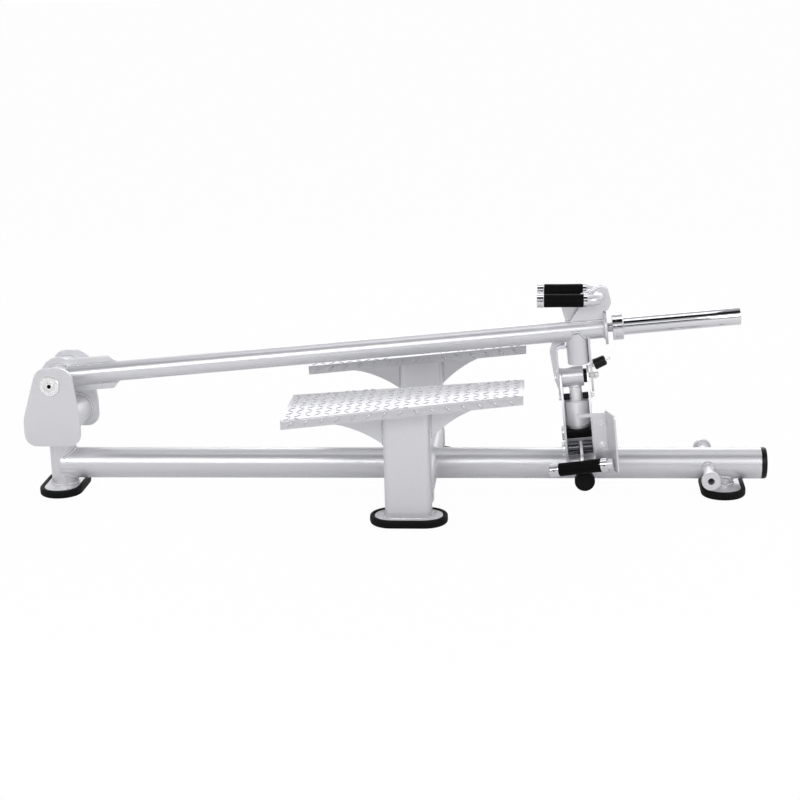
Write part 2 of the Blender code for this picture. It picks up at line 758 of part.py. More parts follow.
def make_lever():
    # The hub and the stiffening plate that wraps it, welded together
    half = GUSSET_PLATE_HALF
    angle = math.asin(half / GUSSET_PLATE_RADIUS)
    outline = arc(LEVER_AXIS, GUSSET_PLATE_RADIUS, angle, 2 * math.pi - angle, 28)
    tip = GUSSET_PLATE_END
    outline += [
        (tip - GUSSET_PLATE_CHAMFER, -half),
        (tip, -half + GUSSET_PLATE_CHAMFER),
        (tip, half - GUSSET_PLATE_CHAMFER),
        (tip - GUSSET_PLATE_CHAMFER, half),
    ]
    thick = GUSSET_PLATE_THICK / 2
    hub = finish("lever_hub", prism("Y", outline, -thick, thick), "silver_coat", "lever")
    cut(hub, lever_cutter(0, tip * 2), "lever")
    bm = rod("Y", LEVER_AXIS, -HUB_HALF_LENGTH, HUB_HALF_LENGTH, HUB_RADIUS)
    join(hub, bm, "lever")
    cut(hub, rod("Y", LEVER_AXIS, -PLATE_INNER, PLATE_INNER, HUB_BORE), "lever")

    # A flanged bushing lines the hub and spaces it from the pivot plates
    outer = PLATE_INNER - GAP
    inner = HUB_HALF_LENGTH + GAP
    bore = SHAFT_RADIUS + RUN_FIT
    body = HUB_BORE - GAP
    bm = bmesh.new()
    add_turned(bm, "Y", LEVER_AXIS, [
        (-outer, bore), (-outer, BUSHING_FLANGE_RADIUS), (-inner, BUSHING_FLANGE_RADIUS),
        (-inner, body), (inner, body), (inner, BUSHING_FLANGE_RADIUS),
        (outer, BUSHING_FLANGE_RADIUS), (outer, bore),
    ])
    finish("hub_bushing", bm, "bronze", "lever")

    end = FLANGE_FACE - FLANGE_THICK - GAP
    bm = tube("X", LEVER_AXIS, 0, end, LEVER_RADIUS, LEVER_RADIUS - WALL)
    lever = finish("lever_tube", bm, "silver_coat", "lever")
    cut(lever, rod("Y", LEVER_AXIS, -PLATE_INNER, PLATE_INNER, HUB_RADIUS + GAP), "lever")

    bm = rod("X", LEVER_AXIS, FLANGE_FACE - FLANGE_THICK, FLANGE_FACE, FLANGE_RADIUS)
    finish("lever_end_flange", bm, "silver_coat", "lever")


def make_sleeve():
    head_end = SLEEVE_END - SLEEVE_CAP_DEPTH - 2 * GAP
    head_start = head_end - SPINDLE_HEAD_THICK
    profile = [
        (FLANGE_FACE + GAP, 0),
        (FLANGE_FACE + GAP, SPINDLE_RADIUS),
        (head_start, SPINDLE_RADIUS),
        (head_start, SPINDLE_HEAD_RADIUS),
        (head_end, SPINDLE_HEAD_RADIUS),
        (head_end, 0),
    ]
    bm = bmesh.new()
    add_turned(bm, "X", LEVER_AXIS, profile)
    finish("sleeve_spindle", bm, "steel", "lever")

    # The sleeve is one tube with a collar at its root and a closed outer end
    shoulder = SLEEVE_START + SLEEVE_COLLAR_LENGTH
    inner_end = SLEEVE_END - SLEEVE_CAP_DEPTH
    rim = 0.002
    profile = [
        (inner_end, 0),
        (inner_end, SLEEVE_BORE),
        (SLEEVE_START, SLEEVE_BORE),
        (SLEEVE_START, SLEEVE_COLLAR_RADIUS - rim),
        (SLEEVE_START + rim, SLEEVE_COLLAR_RADIUS),
        (shoulder - rim, SLEEVE_COLLAR_RADIUS),
        (shoulder, SLEEVE_COLLAR_RADIUS - rim),
        (shoulder, SLEEVE_RADIUS),
        (SLEEVE_END - rim, SLEEVE_RADIUS),
        (SLEEVE_END, SLEEVE_RADIUS - rim),
        (SLEEVE_END, 0),
    ]
    bm = bmesh.new()
    add_turned(bm, "X", LEVER_AXIS, profile)
    finish("weight_sleeve", bm, "chrome", "sleeve")

    bm = tube("X", LEVER_AXIS, SLEEVE_START, head_start - GAP, SLEEVE_BORE - GAP,
              SPINDLE_RADIUS + RUN_FIT)
    finish("sleeve_bush", bm, "bronze", "sleeve")


# Upper close grips

def level_point(distance, rise=0.0):
    # A point beside the upper crossbar, on a line that is level when the lever is at rest.
    along = -distance * math.cos(LEVER_ANGLE) + rise * math.sin(LEVER_ANGLE)
    up = distance * math.sin(LEVER_ANGLE) + rise * math.cos(LEVER_ANGLE)
    return UPPER_BAR_FORWARD + along, UPPER_BAR_RISE + up


def make_upper_grips():
    straight = UPPER_GRIP_SIDE - UPPER_BAR_BEND
    reach = (UPPER_BAR_BEND + UPPER_GRIP_GAP + UPPER_COLLAR_FRONT + UPPER_GRIP_LENGTH
             + UPPER_COLLAR_REAR + 3 * GAP)
    path = [(reach, -UPPER_GRIP_SIDE)]
    for step in range(7):
        angle = math.pi / 2 * step / 6
        path.append((UPPER_BAR_BEND * (1 - math.sin(angle)),
                     -straight - UPPER_BAR_BEND * math.cos(angle)))
    path += [(away, -side) for away, side in reversed(path)]
    bm = bmesh.new()
    rings = []
    for index, (away, side) in enumerate(path):
        before = Vector(path[max(index - 1, 0)])
        after = Vector(path[min(index + 1, len(path) - 1)])
        heading = (after - before).normalized()
        ring = []
        for step in range(ROUND_SMALL):
            angle = 2 * math.pi * step / ROUND_SMALL
            across = UPPER_BAR_RADIUS * math.cos(angle)
            rise = UPPER_BAR_RADIUS * math.sin(angle)
            x, z = level_point(away + heading.y * across, rise)
            ring.append(bm.verts.new((x, side - heading.x * across, z)))
        rings.append(ring)
    bm.faces.new(rings[0])
    bm.faces.new(list(reversed(rings[-1])))
    for low, high in zip(rings, rings[1:]):
        for step in range(ROUND_SMALL):
            after = (step + 1) % ROUND_SMALL
            bm.faces.new([low[step], high[step], high[after], low[after]])
    bar = finish("upper_grip_bar", bm, "silver_coat", "lever")

    # Inner collars are welded to the bar, the grips and the end collars slide on
    front = UPPER_BAR_BEND + UPPER_GRIP_GAP
    bore = UPPER_BAR_RADIUS + GAP
    for name, side in (("near", -UPPER_GRIP_SIDE), ("far", UPPER_GRIP_SIDE)):
        at = front
        weld = UPPER_BAR_RADIUS - WALL
        join(bar, level_tube(side, at, at + UPPER_COLLAR_FRONT, GRIP_COLLAR_RADIUS, weld), "lever")
        at += UPPER_COLLAR_FRONT + GAP
        bm = level_tube(side, at, at + UPPER_GRIP_LENGTH, GRIP_RADIUS, bore)
        finish("upper_grip_" + name, bm, "black_rubber", "lever")
        at += UPPER_GRIP_LENGTH + GAP
        bm = level_tube(side, at, at + UPPER_COLLAR_REAR, GRIP_COLLAR_RADIUS, bore)
        finish("upper_end_collar_" + name, bm, "chrome", "lever")

    # Two plates stand on the lever tube and carry the crossbar
    x, z = UPPER_BAR_FORWARD, UPPER_BAR_RISE
    head = BRACKET_HEAD_RADIUS
    right = [
        (FLANGE_FACE - FLANGE_THICK - GAP, 0.010, 0),
        (FLANGE_FACE - FLANGE_THICK - GAP, FLANGE_RADIUS + 0.003, 0),
        (x + head * 0.66, FLANGE_RADIUS + 0.003, 0.006),
        (x + head, z - head * 0.66, 0.012),
        (x + head * 0.82, z + head * 0.42, 0.020),
        (x + head * 0.35, z + head * 0.86, 0.016),
    ]
    foot = LEVER_RADIUS * 0.6
    near = rounded(right + [(x - head * 0.72, z + head * 0.45, 0.020),
                            (x - NEAR_BRACKET_REACH, foot, 0)])
    far = rounded(right + [(x - FAR_BRACKET_REACH, z - FAR_BRACKET_DROP, 0.006),
                           (x - FAR_BRACKET_FOOT, foot, 0)])
    low, high = BRACKET_OFFSET, BRACKET_OFFSET + BRACKET_THICK
    for name, outline, start, end in (("near", near, -high, -low), ("far", far, low, high)):
        plate = finish("upper_bracket_" + name, prism("Y", outline, start, end), "silver_coat",
                       "lever")
        cut(plate, lever_cutter(NECK_FORWARD - 0.1, FLANGE_FACE), "lever")
        bm = rod("Y", (x, z), -high * 2, high * 2, UPPER_BAR_RADIUS + GAP, ROUND_SMALL)
        cut(plate, bm, "lever")


def level_tube(side, low, high, radius, bore):
    # A ring of material on the level part of the grip bar, from one distance to another.
    bm = bmesh.new()
    rings = []
    for distance, size in ((low, bore), (low, radius), (high, radius), (high, bore)):
        ring = []
        for step in range(ROUND_SMALL):
            angle = 2 * math.pi * step / ROUND_SMALL
            x, z = level_point(distance, size * math.sin(angle))
            ring.append(bm.verts.new((x, side + size * math.cos(angle), z)))
        rings.append(ring)
    for index in range(4):
        first, second = rings[index], rings[(index + 1) % 4]
        for step in range(ROUND_SMALL):
            after = (step + 1) % ROUND_SMALL
            bm.faces.new([first[step], second[step], second[after], first[after]])
    return bm


# Neck, hangers and their bolt

SWING_AXIS = (0, SWING_HEIGHT)


def swing_cutter(radius=SWING_BOLT_RADIUS + RUN_FIT):
    return rod("X", SWING_AXIS, NECK_FORWARD - 0.2, NECK_FORWARD + 0.2, radius, ROUND_SMALL)


def make_neck():
    centre = (NECK_FORWARD, 0)
    bm = tube("Z", centre, NECK_BOTTOM, 0, NECK_RADIUS, NECK_RADIUS - WALL)
    neck = finish("neck_tube", bm, "silver_coat", "lever")
    cut(neck, lever_cutter(NECK_FORWARD - 0.1, NECK_FORWARD + 0.1), "lever")

    # Left hanger: a strap bent round to the bolt, with a rib along its outside
    face = HANGER_LEFT_FACE
    back = face - HANGER_THICK
    top = LEFT_HANGER_TOP
    inner = LEFT_HANGER_BEND - HANGER_THICK / 2
    outline = rounded([
        (NECK_FORWARD, top, 0),
        (back, top, LEFT_HANGER_BEND + HANGER_THICK / 2),
        (back, HANGER_BOTTOM, 0),
        (face, HANGER_BOTTOM, 0),
        (face, top - HANGER_THICK, inner),
        (NECK_FORWARD, top - HANGER_THICK, 0),
    ])
    bm = prism("Y", outline, -HANGER_HALF_WIDTH, HANGER_HALF_WIDTH)
    outer = back - RIB_WIDTH
    edge = back + HANGER_THICK / 2
    rib = rounded([
        (edge, HANGER_BOTTOM + 0.014, 0),
        (edge - 0.005, HANGER_BOTTOM + 0.014, 0),
        (outer + 0.006, SWING_HEIGHT, 0.03),
        (outer, top - 0.016, 0.008),
        (outer + 0.010, top + 0.009, 0.008),
        (NECK_FORWARD - NECK_RADIUS - 0.004, top + 0.009, 0),
        (NECK_FORWARD - NECK_RADIUS - 0.004, top - HANGER_THICK / 2, 0),
        (back + 0.014, top - HANGER_THICK / 2, 0),
        (edge, top - 0.016, 0),
    ])
    hanger = finish("left_hanger", bm, "silver_coat", "lever")
    join(hanger, prism("Y", rib, RIB_OFFSET, RIB_OFFSET + RIB_THICK), "lever")
    cut(hanger, rod("Z", centre, NECK_BOTTOM, 0, NECK_RADIUS + GAP), "lever")
    cut(hanger, swing_cutter(), "lever")

    # Right hanger: a flat bar down the side of the neck
    low, high = HANGER_RIGHT_FACE, HANGER_RIGHT_FACE + HANGER_THICK
    outline = rounded([
        (-HANGER_HALF_WIDTH, 0, 0),
        (-HANGER_HALF_WIDTH, HANGER_BOTTOM, 0.018),
        (HANGER_HALF_WIDTH, HANGER_BOTTOM, 0.018),
        (HANGER_HALF_WIDTH, 0, 0),
    ])
    hanger = finish("right_hanger", prism("X", outline, low, high), "silver_coat", "lever")
    cut(hanger, lever_cutter(low - 0.1, high + 0.1), "lever")
    cut(hanger, swing_cutter(), "lever")
    cut(hanger, pin_turned([(-0.02, 0), (-0.02, PIN_RADIUS + RUN_FIT), (0.02, PIN_RADIUS + RUN_FIT),
                            (0.02, 0)]), "lever")

    # The bolt runs through both hangers and carries the carriage
    start = back - GAP
    nut = high + GAP
    profile = [
        (start - SWING_HEAD_THICK, 0),
        (start - SWING_HEAD_THICK, SWING_HEAD_RADIUS),
        (start, SWING_HEAD_RADIUS),
        (start, SWING_BOLT_RADIUS),
        (nut, SWING_BOLT_RADIUS),
        (nut, SWING_HEAD_RADIUS),
        (nut + SWING_NUT_THICK * 0.8, SWING_HEAD_RADIUS),
        (nut + SWING_NUT_THICK * 0.8, SWING_BOLT_RADIUS),
        (nut + SWING_NUT_THICK, SWING_BOLT_RADIUS),
        (nut + SWING_NUT_THICK, 0),
    ]
    bm = bmesh.new()
    add_turned(bm, "X", SWING_AXIS, profile, ROUND_SMALL)
    finish("swing_bolt", bm, "zinc", "lever")


# Pull pin

PIN_START = HANGER_RIGHT_FACE + HANGER_THICK / 2


def pin_turned(profile):
    # Turns a profile about the slanted pin axis, zero in the middle of the right hanger.
    bm = bmesh.new()
    add_turned(bm, "X", (0, 0), profile, ROUND_SMALL)
    for vert in bm.verts:
        along, up = vert.co.x, vert.co.z
        vert.co.x = PIN_START + along * math.cos(PIN_ANGLE) - up * math.sin(PIN_ANGLE)
        vert.co.z = PIN_HEIGHT + along * math.sin(PIN_ANGLE) + up * math.cos(PIN_ANGLE)
    return bm


def make_pin():
    lean = math.tan(PIN_ANGLE)
    hole = PIN_RADIUS + RUN_FIT
    barrel_start = HANGER_THICK / 2 / math.cos(PIN_ANGLE) + PIN_BARREL_RADIUS * lean + GAP
    barrel_end = barrel_start + PIN_BARREL_LENGTH
    finish("plunger_barrel", pin_turned([
        (barrel_start, hole),
        (barrel_start, PIN_BARREL_RADIUS),
        (barrel_end, PIN_BARREL_RADIUS),
        (barrel_end, hole),
    ]), "zinc", "lever")

    # The tip stands just clear of the fork plate's outer face
    clear = HANGER_RIGHT_FACE + HANGER_THICK / 2 - (FORK_INNER_RIGHT + FORK_THICK + GAP)
    tip = -clear / math.cos(PIN_ANGLE) + PIN_RADIUS * lean
    knob_start = barrel_start + 0.003
    knob_end = knob_start + KNOB_LENGTH
    socket = PIN_BARREL_RADIUS + RUN_FIT
    finish("pull_pin", pin_turned([
        (tip, 0),
        (tip, PIN_RADIUS),
        (knob_end - KNOB_END_WALL, PIN_RADIUS),
        (knob_end - KNOB_END_WALL, socket),
        (knob_start, socket),
        (knob_start, KNOB_BASE_RADIUS),
        (knob_end - 0.006, KNOB_TIP_RADIUS + 0.001),
        (knob_end, KNOB_TIP_RADIUS - 0.004),
        (knob_end, PIN_STEM_RADIUS),
        (knob_end + PIN_STEM_LENGTH, PIN_STEM_RADIUS),
        (knob_end + PIN_STEM_LENGTH, 0),
    ]), "black_plastic", "pin")


# Swinging carriage

def fork_outline():
    # Seen along the lever: round at the bolt, spreading to two legs over the base tube.
    top = arc(SWING_AXIS, FORK_TOP_RADIUS, 0.10 * math.pi, 0.90 * math.pi, 10)
    wide = SWING_HEIGHT - FORK_WIDE_DEPTH
    low = SWING_HEIGHT - FORK_LEG_DEPTH
    spread = math.asin(FORK_NOTCH_HALF / FORK_LEG_DEPTH)
    points = top + [(-FORK_HALF_WIDTH, wide), (-FORK_HALF_WIDTH, low), (-FORK_NOTCH_HALF, low)]
    notch = arc(SWING_AXIS, fork_notch_radius(), -math.pi / 2 - spread, -math.pi / 2 + spread, 8)
    points += notch
    points += [(FORK_NOTCH_HALF, low), (FORK_HALF_WIDTH, wide - FORK_LEG_DEPTH + FORK_WIDE_DEPTH),
               (FORK_HALF_WIDTH, wide)]
    return points


def fork_notch_radius():
    # The notch stands on the bumper at the left fork plate when the lever is at rest.
    along = FORK_INNER_LEFT - FORK_THICK
    swing = PIVOT_HEIGHT + along * math.sin(LEVER_ANGLE) + SWING_HEIGHT * math.cos(LEVER_ANGLE)
    bumper = BASE_HEIGHT + BASE_RADIUS + GAP + BUMPER_THICK
    return (swing - bumper - GAP) / math.cos(LEVER_ANGLE)


def make_carriage():
    inside_left, inside_right = FORK_INNER_LEFT + GAP, FORK_INNER_RIGHT - GAP
    ring = HOUSING_TOP - HOUSING_LENGTH - HOUSING_RING_LENGTH
    pad_top = ring - GAP
    yoke_top = pad_top - STOP_PAD_THICK - GAP
    ends = (NECK_FORWARD - 0.1, NECK_FORWARD + 0.1)
    outline = fork_outline()
    for name, low in (("left", FORK_INNER_LEFT - FORK_THICK), ("right", FORK_INNER_RIGHT)):
        fork = finish("fork_plate_" + name, prism("X", outline, low, low + FORK_THICK),
                      "silver_coat", "handle")
        if name == "right":
            yoke = box_outline(inside_left, inside_right + FORK_THICK / 2, yoke_top - YOKE_THICK,
                               yoke_top)
            join(fork, prism("Y", yoke, -STOP_PAD_HALF, STOP_PAD_HALF), "handle")
        cut(fork, swing_cutter(), "handle")
        bm = rod("X", (0, CROSS_BOLT_HEIGHT), *ends, CROSS_BOLT_RADIUS + GAP, ROUND_SMALL)
        for side in (-ARM_AXLE_SIDE, ARM_AXLE_SIDE):
            add_rod(bm, "X", (side, ARM_AXLE_HEIGHT), *ends, ARM_AXLE_RADIUS + GAP, ROUND_SMALL)
        cut(fork, bm, "handle")

    # The hub turns on the swing bolt and carries the upright shaft, with the housing below
    hub_end = inside_left + CARRIAGE_HUB_LENGTH
    spindle_axis = (FORK_MIDDLE, 0)
    steps = ROUND_LARGE
    bm = rod("X", SWING_AXIS, inside_left, hub_end, CARRIAGE_HUB_RADIUS, steps)
    hub = finish("carriage_hub", bm, "silver_coat", "handle")
    join(hub, rod("Z", spindle_axis, HOUSING_TOP + GAP, SWING_HEIGHT, CARRIAGE_SPINDLE_RADIUS),
         "handle")
    bm = tube("X", SWING_AXIS, hub_end - WALL, inside_right, HUB_SPACER_RADIUS, SWING_BOLT_RADIUS)
    join(hub, bm, "handle")
    cut(hub, swing_cutter(), "handle")
    cut(hub, rod("X", (0, CROSS_BOLT_HEIGHT), *ends, CROSS_BOLT_RADIUS + GAP, ROUND_SMALL),
        "handle")

    bottom = HOUSING_TOP - HOUSING_LENGTH
    profile = [
        (HOUSING_TOP, 0),
        (HOUSING_TOP, HOUSING_RADIUS),
        (bottom, HOUSING_RADIUS),
        (bottom, HOUSING_RING_RADIUS),
        (ring, HOUSING_RING_RADIUS),
        (ring, 0),
    ]
    bm = bmesh.new()
    add_turned(bm, "Z", spindle_axis, profile)
    finish("carriage_housing", bm, "silver_coat", "handle")

    outline = box_outline(inside_left, inside_right, pad_top - STOP_PAD_THICK, pad_top)
    finish("stop_pad", prism("Y", outline, -STOP_PAD_HALF, STOP_PAD_HALF), "black_rubber",
           "handle")

    left = FORK_INNER_LEFT - FORK_THICK - GAP
    right = FORK_INNER_RIGHT + FORK_THICK + GAP
    bm = bolt_solid((0, CROSS_BOLT_HEIGHT), left, right, CROSS_BOLT_RADIUS, CROSS_BOLT_HEAD,
                    CROSS_BOLT_HEAD_THICK, CROSS_BOLT_NUT)
    finish("cross_bolt", bm, "zinc", "handle")
    for name, side in (("near", -ARM_AXLE_SIDE), ("far", ARM_AXLE_SIDE)):
        bm = bolt_solid((side, ARM_AXLE_HEIGHT), left, right, ARM_AXLE_RADIUS, ARM_AXLE_HEAD,
                        ARM_AXLE_HEAD_THICK, ARM_AXLE_NUT)
        finish("arm_axle_" + name, bm, "zinc", "handle")


def bolt_solid(centre, left, right, radius, head_radius, head_thick, nut_radius):
    # A bolt with a head on the left and a riveted-on nut on the right, as one turned piece.
    profile = [
        (left - head_thick, 0),
        (left - head_thick, head_radius),
        (left, head_radius),
        (left, radius),
        (right, radius),
        (right, nut_radius),
        (right + head_thick * 0.7, nut_radius),
        (right + head_thick * 0.7, 0),
    ]
    bm = bmesh.new()
    add_turned(bm, "X", centre, profile, ROUND_SMALL)
    return bm


# Arms

def make_arm(side_name, side):
    frame = side_name + "_arm"
    axle = (side * ARM_AXLE_SIDE, ARM_AXLE_HEIGHT)
    inside_left, inside_right = FORK_INNER_LEFT + GAP, FORK_INNER_RIGHT - GAP
    bore = ARM_AXLE_RADIUS + RUN_FIT
    tie_low, tie_high = ARM_TIE_LOW, ARM_TIE_LOW + ARM_TIE_HEIGHT
    tie_in = FORK_HALF_WIDTH + ARM_TIE_CLEAR

    # The link: a boss on the axle, a lug, and the tie that runs out under the plate
    bm = rod("X", axle, inside_left, inside_right, ARM_BOSS_RADIUS, ROUND_SMALL)
    link = finish(side_name + "_arm_link", bm, "black_plastic", frame)
    lug_left = ARM_LUG_FORWARD - ARM_LUG_THICK / 2
    reach = side * (tie_in + ARM_LUG_OVERLAP)
    lug = [
        (axle[0], ARM_AXLE_HEIGHT - ARM_BOSS_RADIUS * 0.9),
        (reach, tie_low + 0.001),
        (reach, tie_high - 0.001),
        (side * (tie_in - 0.002), tie_high + 0.018),
        (axle[0], ARM_AXLE_HEIGHT + ARM_BOSS_RADIUS * 0.8),
    ]
    join(link, prism("X", lug, lug_left, lug_left + ARM_LUG_THICK), frame)
    tie = box_outline(lug_left, ARM_PLATE_END - 0.012, tie_low, tie_high)
    tie_out = ARM_PLATE_SIDE - GAP
    join(link, prism("Y", tie, side * tie_in, side * tie_out), frame)
    cut(link, rod("X", axle, inside_left - 0.01, inside_right + 0.01, bore, ROUND_SMALL), frame)

    # The plate: an upright with a tab at its top and a flange bent outwards for the grip
    left = ARM_PLATE_END - ARM_PLATE_WIDTH
    outline = rounded([
        (left, tie_low, 0),
        (ARM_PLATE_END - 0.012, tie_low, 0),
        (ARM_PLATE_END, tie_high, 0),
        (ARM_PLATE_END, ARM_PLATE_TOP, 0.010),
        (lug_left, ARM_PLATE_TOP + 0.003, 0.003),
        (lug_left, ARM_PLATE_TOP - ARM_TAB_HEIGHT, 0.003),
        (left, ARM_PLATE_TOP - ARM_TAB_HEIGHT, 0),
    ])
    plate_out = ARM_PLATE_SIDE + ARM_PLATE_THICK
    bm = prism("Y", outline, side * ARM_PLATE_SIDE, side * plate_out)
    plate = finish(side_name + "_arm_plate", bm, "silver_coat", frame)
    thick = FLANGE_PLATE_THICK
    bend = ARM_PLATE_END - thick
    flange = [
        (bend, side * (plate_out - 0.004)),
        (bend + thick, side * (plate_out - 0.004)),
        (bend + thick + FLANGE_LEAN, side * FLANGE_SIDE),
        (bend + FLANGE_LEAN, side * FLANGE_SIDE),
    ]
    join(plate, prism("Z", flange, FLANGE_LOW, FLANGE_TOP), frame)

    # The grip slides on a bar that ends in the flange, with a welded collar next to it
    lean = FLANGE_LEAN / (FLANGE_SIDE - plate_out + 0.004)
    middle = bend + thick / 2 - lean * (plate_out - 0.004)
    at = LOWER_COLLAR_REAR + LOWER_GRIP_LENGTH + 2 * GAP
    tail = at + LOWER_COLLAR_FRONT
    bm = grip_turned(side, [
        (0, 0),
        (0, LOWER_BAR_RADIUS),
        (at, LOWER_BAR_RADIUS),
        (at, GRIP_COLLAR_RADIUS),
        (tail, GRIP_COLLAR_RADIUS),
        (tail, LOWER_BAR_RADIUS),
    ], (lean, middle))
    join(plate, bm, frame)
    bore = LOWER_BAR_RADIUS + GAP
    low = 0
    for name, length, radius, look in (
            ("end_collar", LOWER_COLLAR_REAR, GRIP_COLLAR_RADIUS, "chrome"),
            ("lower_grip", LOWER_GRIP_LENGTH, GRIP_RADIUS, "black_rubber")):
        high = low + length
        bm = grip_turned(side, [(low, bore), (low, radius), (high, radius), (high, bore)])
        finish(side_name + "_" + name, bm, look, frame)
        low = high + GAP


def grip_turned(side, profile, flange=None):
    # Turns a profile about a lower grip's slanted axis, zero at its rear end. With a flange
    # given as its lean and place, the bar goes on and ends on the flange's middle plane.
    turn = (Matrix.Rotation(side * LOWER_GRIP_YAW, 4, "Z")
            @ Matrix.Rotation(-LOWER_GRIP_PITCH, 4, "Y"))
    place = Matrix.Translation((LOWER_GRIP_START, side * LOWER_GRIP_SIDE, LOWER_GRIP_HEIGHT))
    bm = bmesh.new()
    if flange:
        along, radius = profile[-1]
        far = along + GRIP_COLLAR_RADIUS
        profile = profile + [(far, radius), (far, 0)]
    add_turned(bm, "X", (0, 0), profile, ROUND_SMALL)
    ends = [vert for vert in bm.verts if flange and vert.co.x > far - GAP]
    bm.transform(place @ turn)
    heading = turn @ Vector((1, 0, 0))
    for vert in ends:
        lean, middle = flange
        short = middle - (vert.co.x - lean * side * vert.co.y)
        vert.co += heading * short / (heading.x - lean * side * heading.y)
    return bm


def main():
    clear_scene()
    make_materials()
    make_frame("lever", "base", (PIVOT_X, 0, PIVOT_HEIGHT), LEVER_ANGLE)
    make_frame("sleeve", "lever", (SLEEVE_START, 0, 0))
    make_frame("handle", "lever", (FORK_MIDDLE, 0, SWING_HEIGHT))
    make_frame("near_arm", "handle", (FORK_MIDDLE, -ARM_AXLE_SIDE, ARM_AXLE_HEIGHT))
    make_frame("far_arm", "handle", (FORK_MIDDLE, ARM_AXLE_SIDE, ARM_AXLE_HEIGHT))
    make_frame("pin", "lever", (PIN_START, 0, PIN_HEIGHT))
    make_base()
    make_rear_post()
    make_pivot()
    make_feet()
    make_base_fittings()
    make_platforms()
    make_posts()
    make_lever()
    make_sleeve()
    make_upper_grips()
    make_neck()
    make_pin()
    make_carriage()
    make_arm("near", -1)
    make_arm("far", 1)
    # The far arm hangs down beside the base tube, the near one stands over its rest
    frames["far_arm"][0].rotation_euler.x = -FAR_ARM_DROP


main()
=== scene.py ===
import math

import bmesh
import bpy
from mathutils import Matrix, Vector


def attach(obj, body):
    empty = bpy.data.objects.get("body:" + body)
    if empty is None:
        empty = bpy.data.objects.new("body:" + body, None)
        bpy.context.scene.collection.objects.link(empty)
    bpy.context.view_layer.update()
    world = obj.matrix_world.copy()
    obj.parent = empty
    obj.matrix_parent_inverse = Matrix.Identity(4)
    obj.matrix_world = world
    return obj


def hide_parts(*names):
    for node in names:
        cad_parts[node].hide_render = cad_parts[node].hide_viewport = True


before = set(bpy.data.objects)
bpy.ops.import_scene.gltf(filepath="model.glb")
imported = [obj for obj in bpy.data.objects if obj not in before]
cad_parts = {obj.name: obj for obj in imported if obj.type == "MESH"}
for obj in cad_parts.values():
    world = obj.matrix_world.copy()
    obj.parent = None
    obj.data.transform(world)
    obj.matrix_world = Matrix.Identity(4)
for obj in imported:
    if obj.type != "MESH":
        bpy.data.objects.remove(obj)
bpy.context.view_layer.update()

REAR_X = -0.9765
BASE_HEIGHT = 0.0778
BASE_RADIUS = 0.04445
BASE_END = REAR_X + 2.014
BASE_AXIS = (0, BASE_HEIGHT)
STEPS = 72
SHARP_TURN = 0.7
WORLD = Matrix.Identity(4)


def node(tree, kind, values=None, **settings):
    # Adds a node to a tree, with its own settings and the values of its inputs.
    made = tree.nodes.new(kind)
    for name, value in settings.items():
        setattr(made, name, value)
    for name, value in (values or {}).items():
        made.inputs[name].default_value = value
    return made


def wire(tree, *links):
    # Joins the sockets of a tree's nodes. Each link is (node, output, node, input).
    for source, out, target, into in links:
        tree.links.new(source.outputs[out], target.inputs[into])


def material(name, colour, metallic, roughness, shine=0.5):
    made = bpy.data.materials.new(name)
    made.use_nodes = True
    shader = made.node_tree.nodes["Principled BSDF"]
    shader.inputs["Base Color"].default_value = (*colour, 1)
    shader.inputs["Metallic"].default_value = metallic
    shader.inputs["Roughness"].default_value = roughness
    shader.inputs["Specular IOR Level"].default_value = shine
    return made


def grain(made, scale, depth, tone=None, gloss=None):
    # Noise in the metal or rubber: a bump, and where given a range of tone or of roughness.
    low, high = 0.35, 0.65
    tree = made.node_tree
    shader = tree.nodes["Principled BSDF"]
    coords = node(tree, "ShaderNodeTexCoord")
    noise = node(tree, "ShaderNodeTexNoise", {"Scale": scale, "Detail": 4})
    bump = node(tree, "ShaderNodeBump", {"Strength": 1, "Distance": depth})
    wire(tree, (coords, "Object", noise, "Vector"), (noise, "Fac", bump, "Height"),
         (bump, "Normal", shader, "Normal"))
    if tone:
        ramp = node(tree, "ShaderNodeValToRGB")
        for step, place, colour in zip(ramp.color_ramp.elements, (low, high), tone):
            step.position = place
            step.color = (*colour, 1)
        wire(tree, (noise, "Fac", ramp, "Fac"), (ramp, "Color", shader, "Base Color"))
    if gloss:
        spread = node(tree, "ShaderNodeMapRange", {
            "From Min": low, "From Max": high, "To Min": gloss[0], "To Max": gloss[1]})
        wire(tree, (noise, "Fac", spread, "Value"), (spread, "Result", shader, "Roughness"))


coat = material("silver coat", (0.74, 0.74, 0.765), 0.65, 0.36)
grain(coat, 900, 0.00001, tone=((0.71, 0.71, 0.735), (0.79, 0.79, 0.815)))


def spot(axis, along, first, second):
    if axis == "X":
        return Vector((along, first, second))
    if axis == "Y":
        return Vector((first, along, second))
    return Vector((first, second, along))


def turned(bm, axis, centre, profile, steps=STEPS):
    # Turns (along, radius) points about an axis. A third entry, a number of sides, makes that
    # ring a polygon of that radius to its flats, as on a hex head or socket.
    rings = []
    for along, radius, *sides in profile:
        if radius == 0:
            rings.append([bm.verts.new(spot(axis, along, *centre))])
            continue
        circle = []
        for step in range(steps):
            angle = 2 * math.pi * step / steps
            reach = radius
            if sides:
                half = math.pi / sides[0]
                reach = radius / math.cos(angle % (2 * half) - half)
            circle.append(bm.verts.new(spot(axis, along, centre[0] + reach * math.cos(angle),
                                            centre[1] + reach * math.sin(angle))))
        rings.append(circle)
    pairs = list(zip(rings, rings[1:]))
    if profile[0][1] != 0:
        pairs.append((rings[-1], rings[0]))
    for low, high in pairs:
        for step in range(steps):
            after = (step + 1) % steps
            corners = [low[step % len(low)], low[after % len(low)]]
            corners += [high[after % len(high)], high[step % len(high)]]
            bm.faces.new(list(dict.fromkeys(corners)))
    return bm


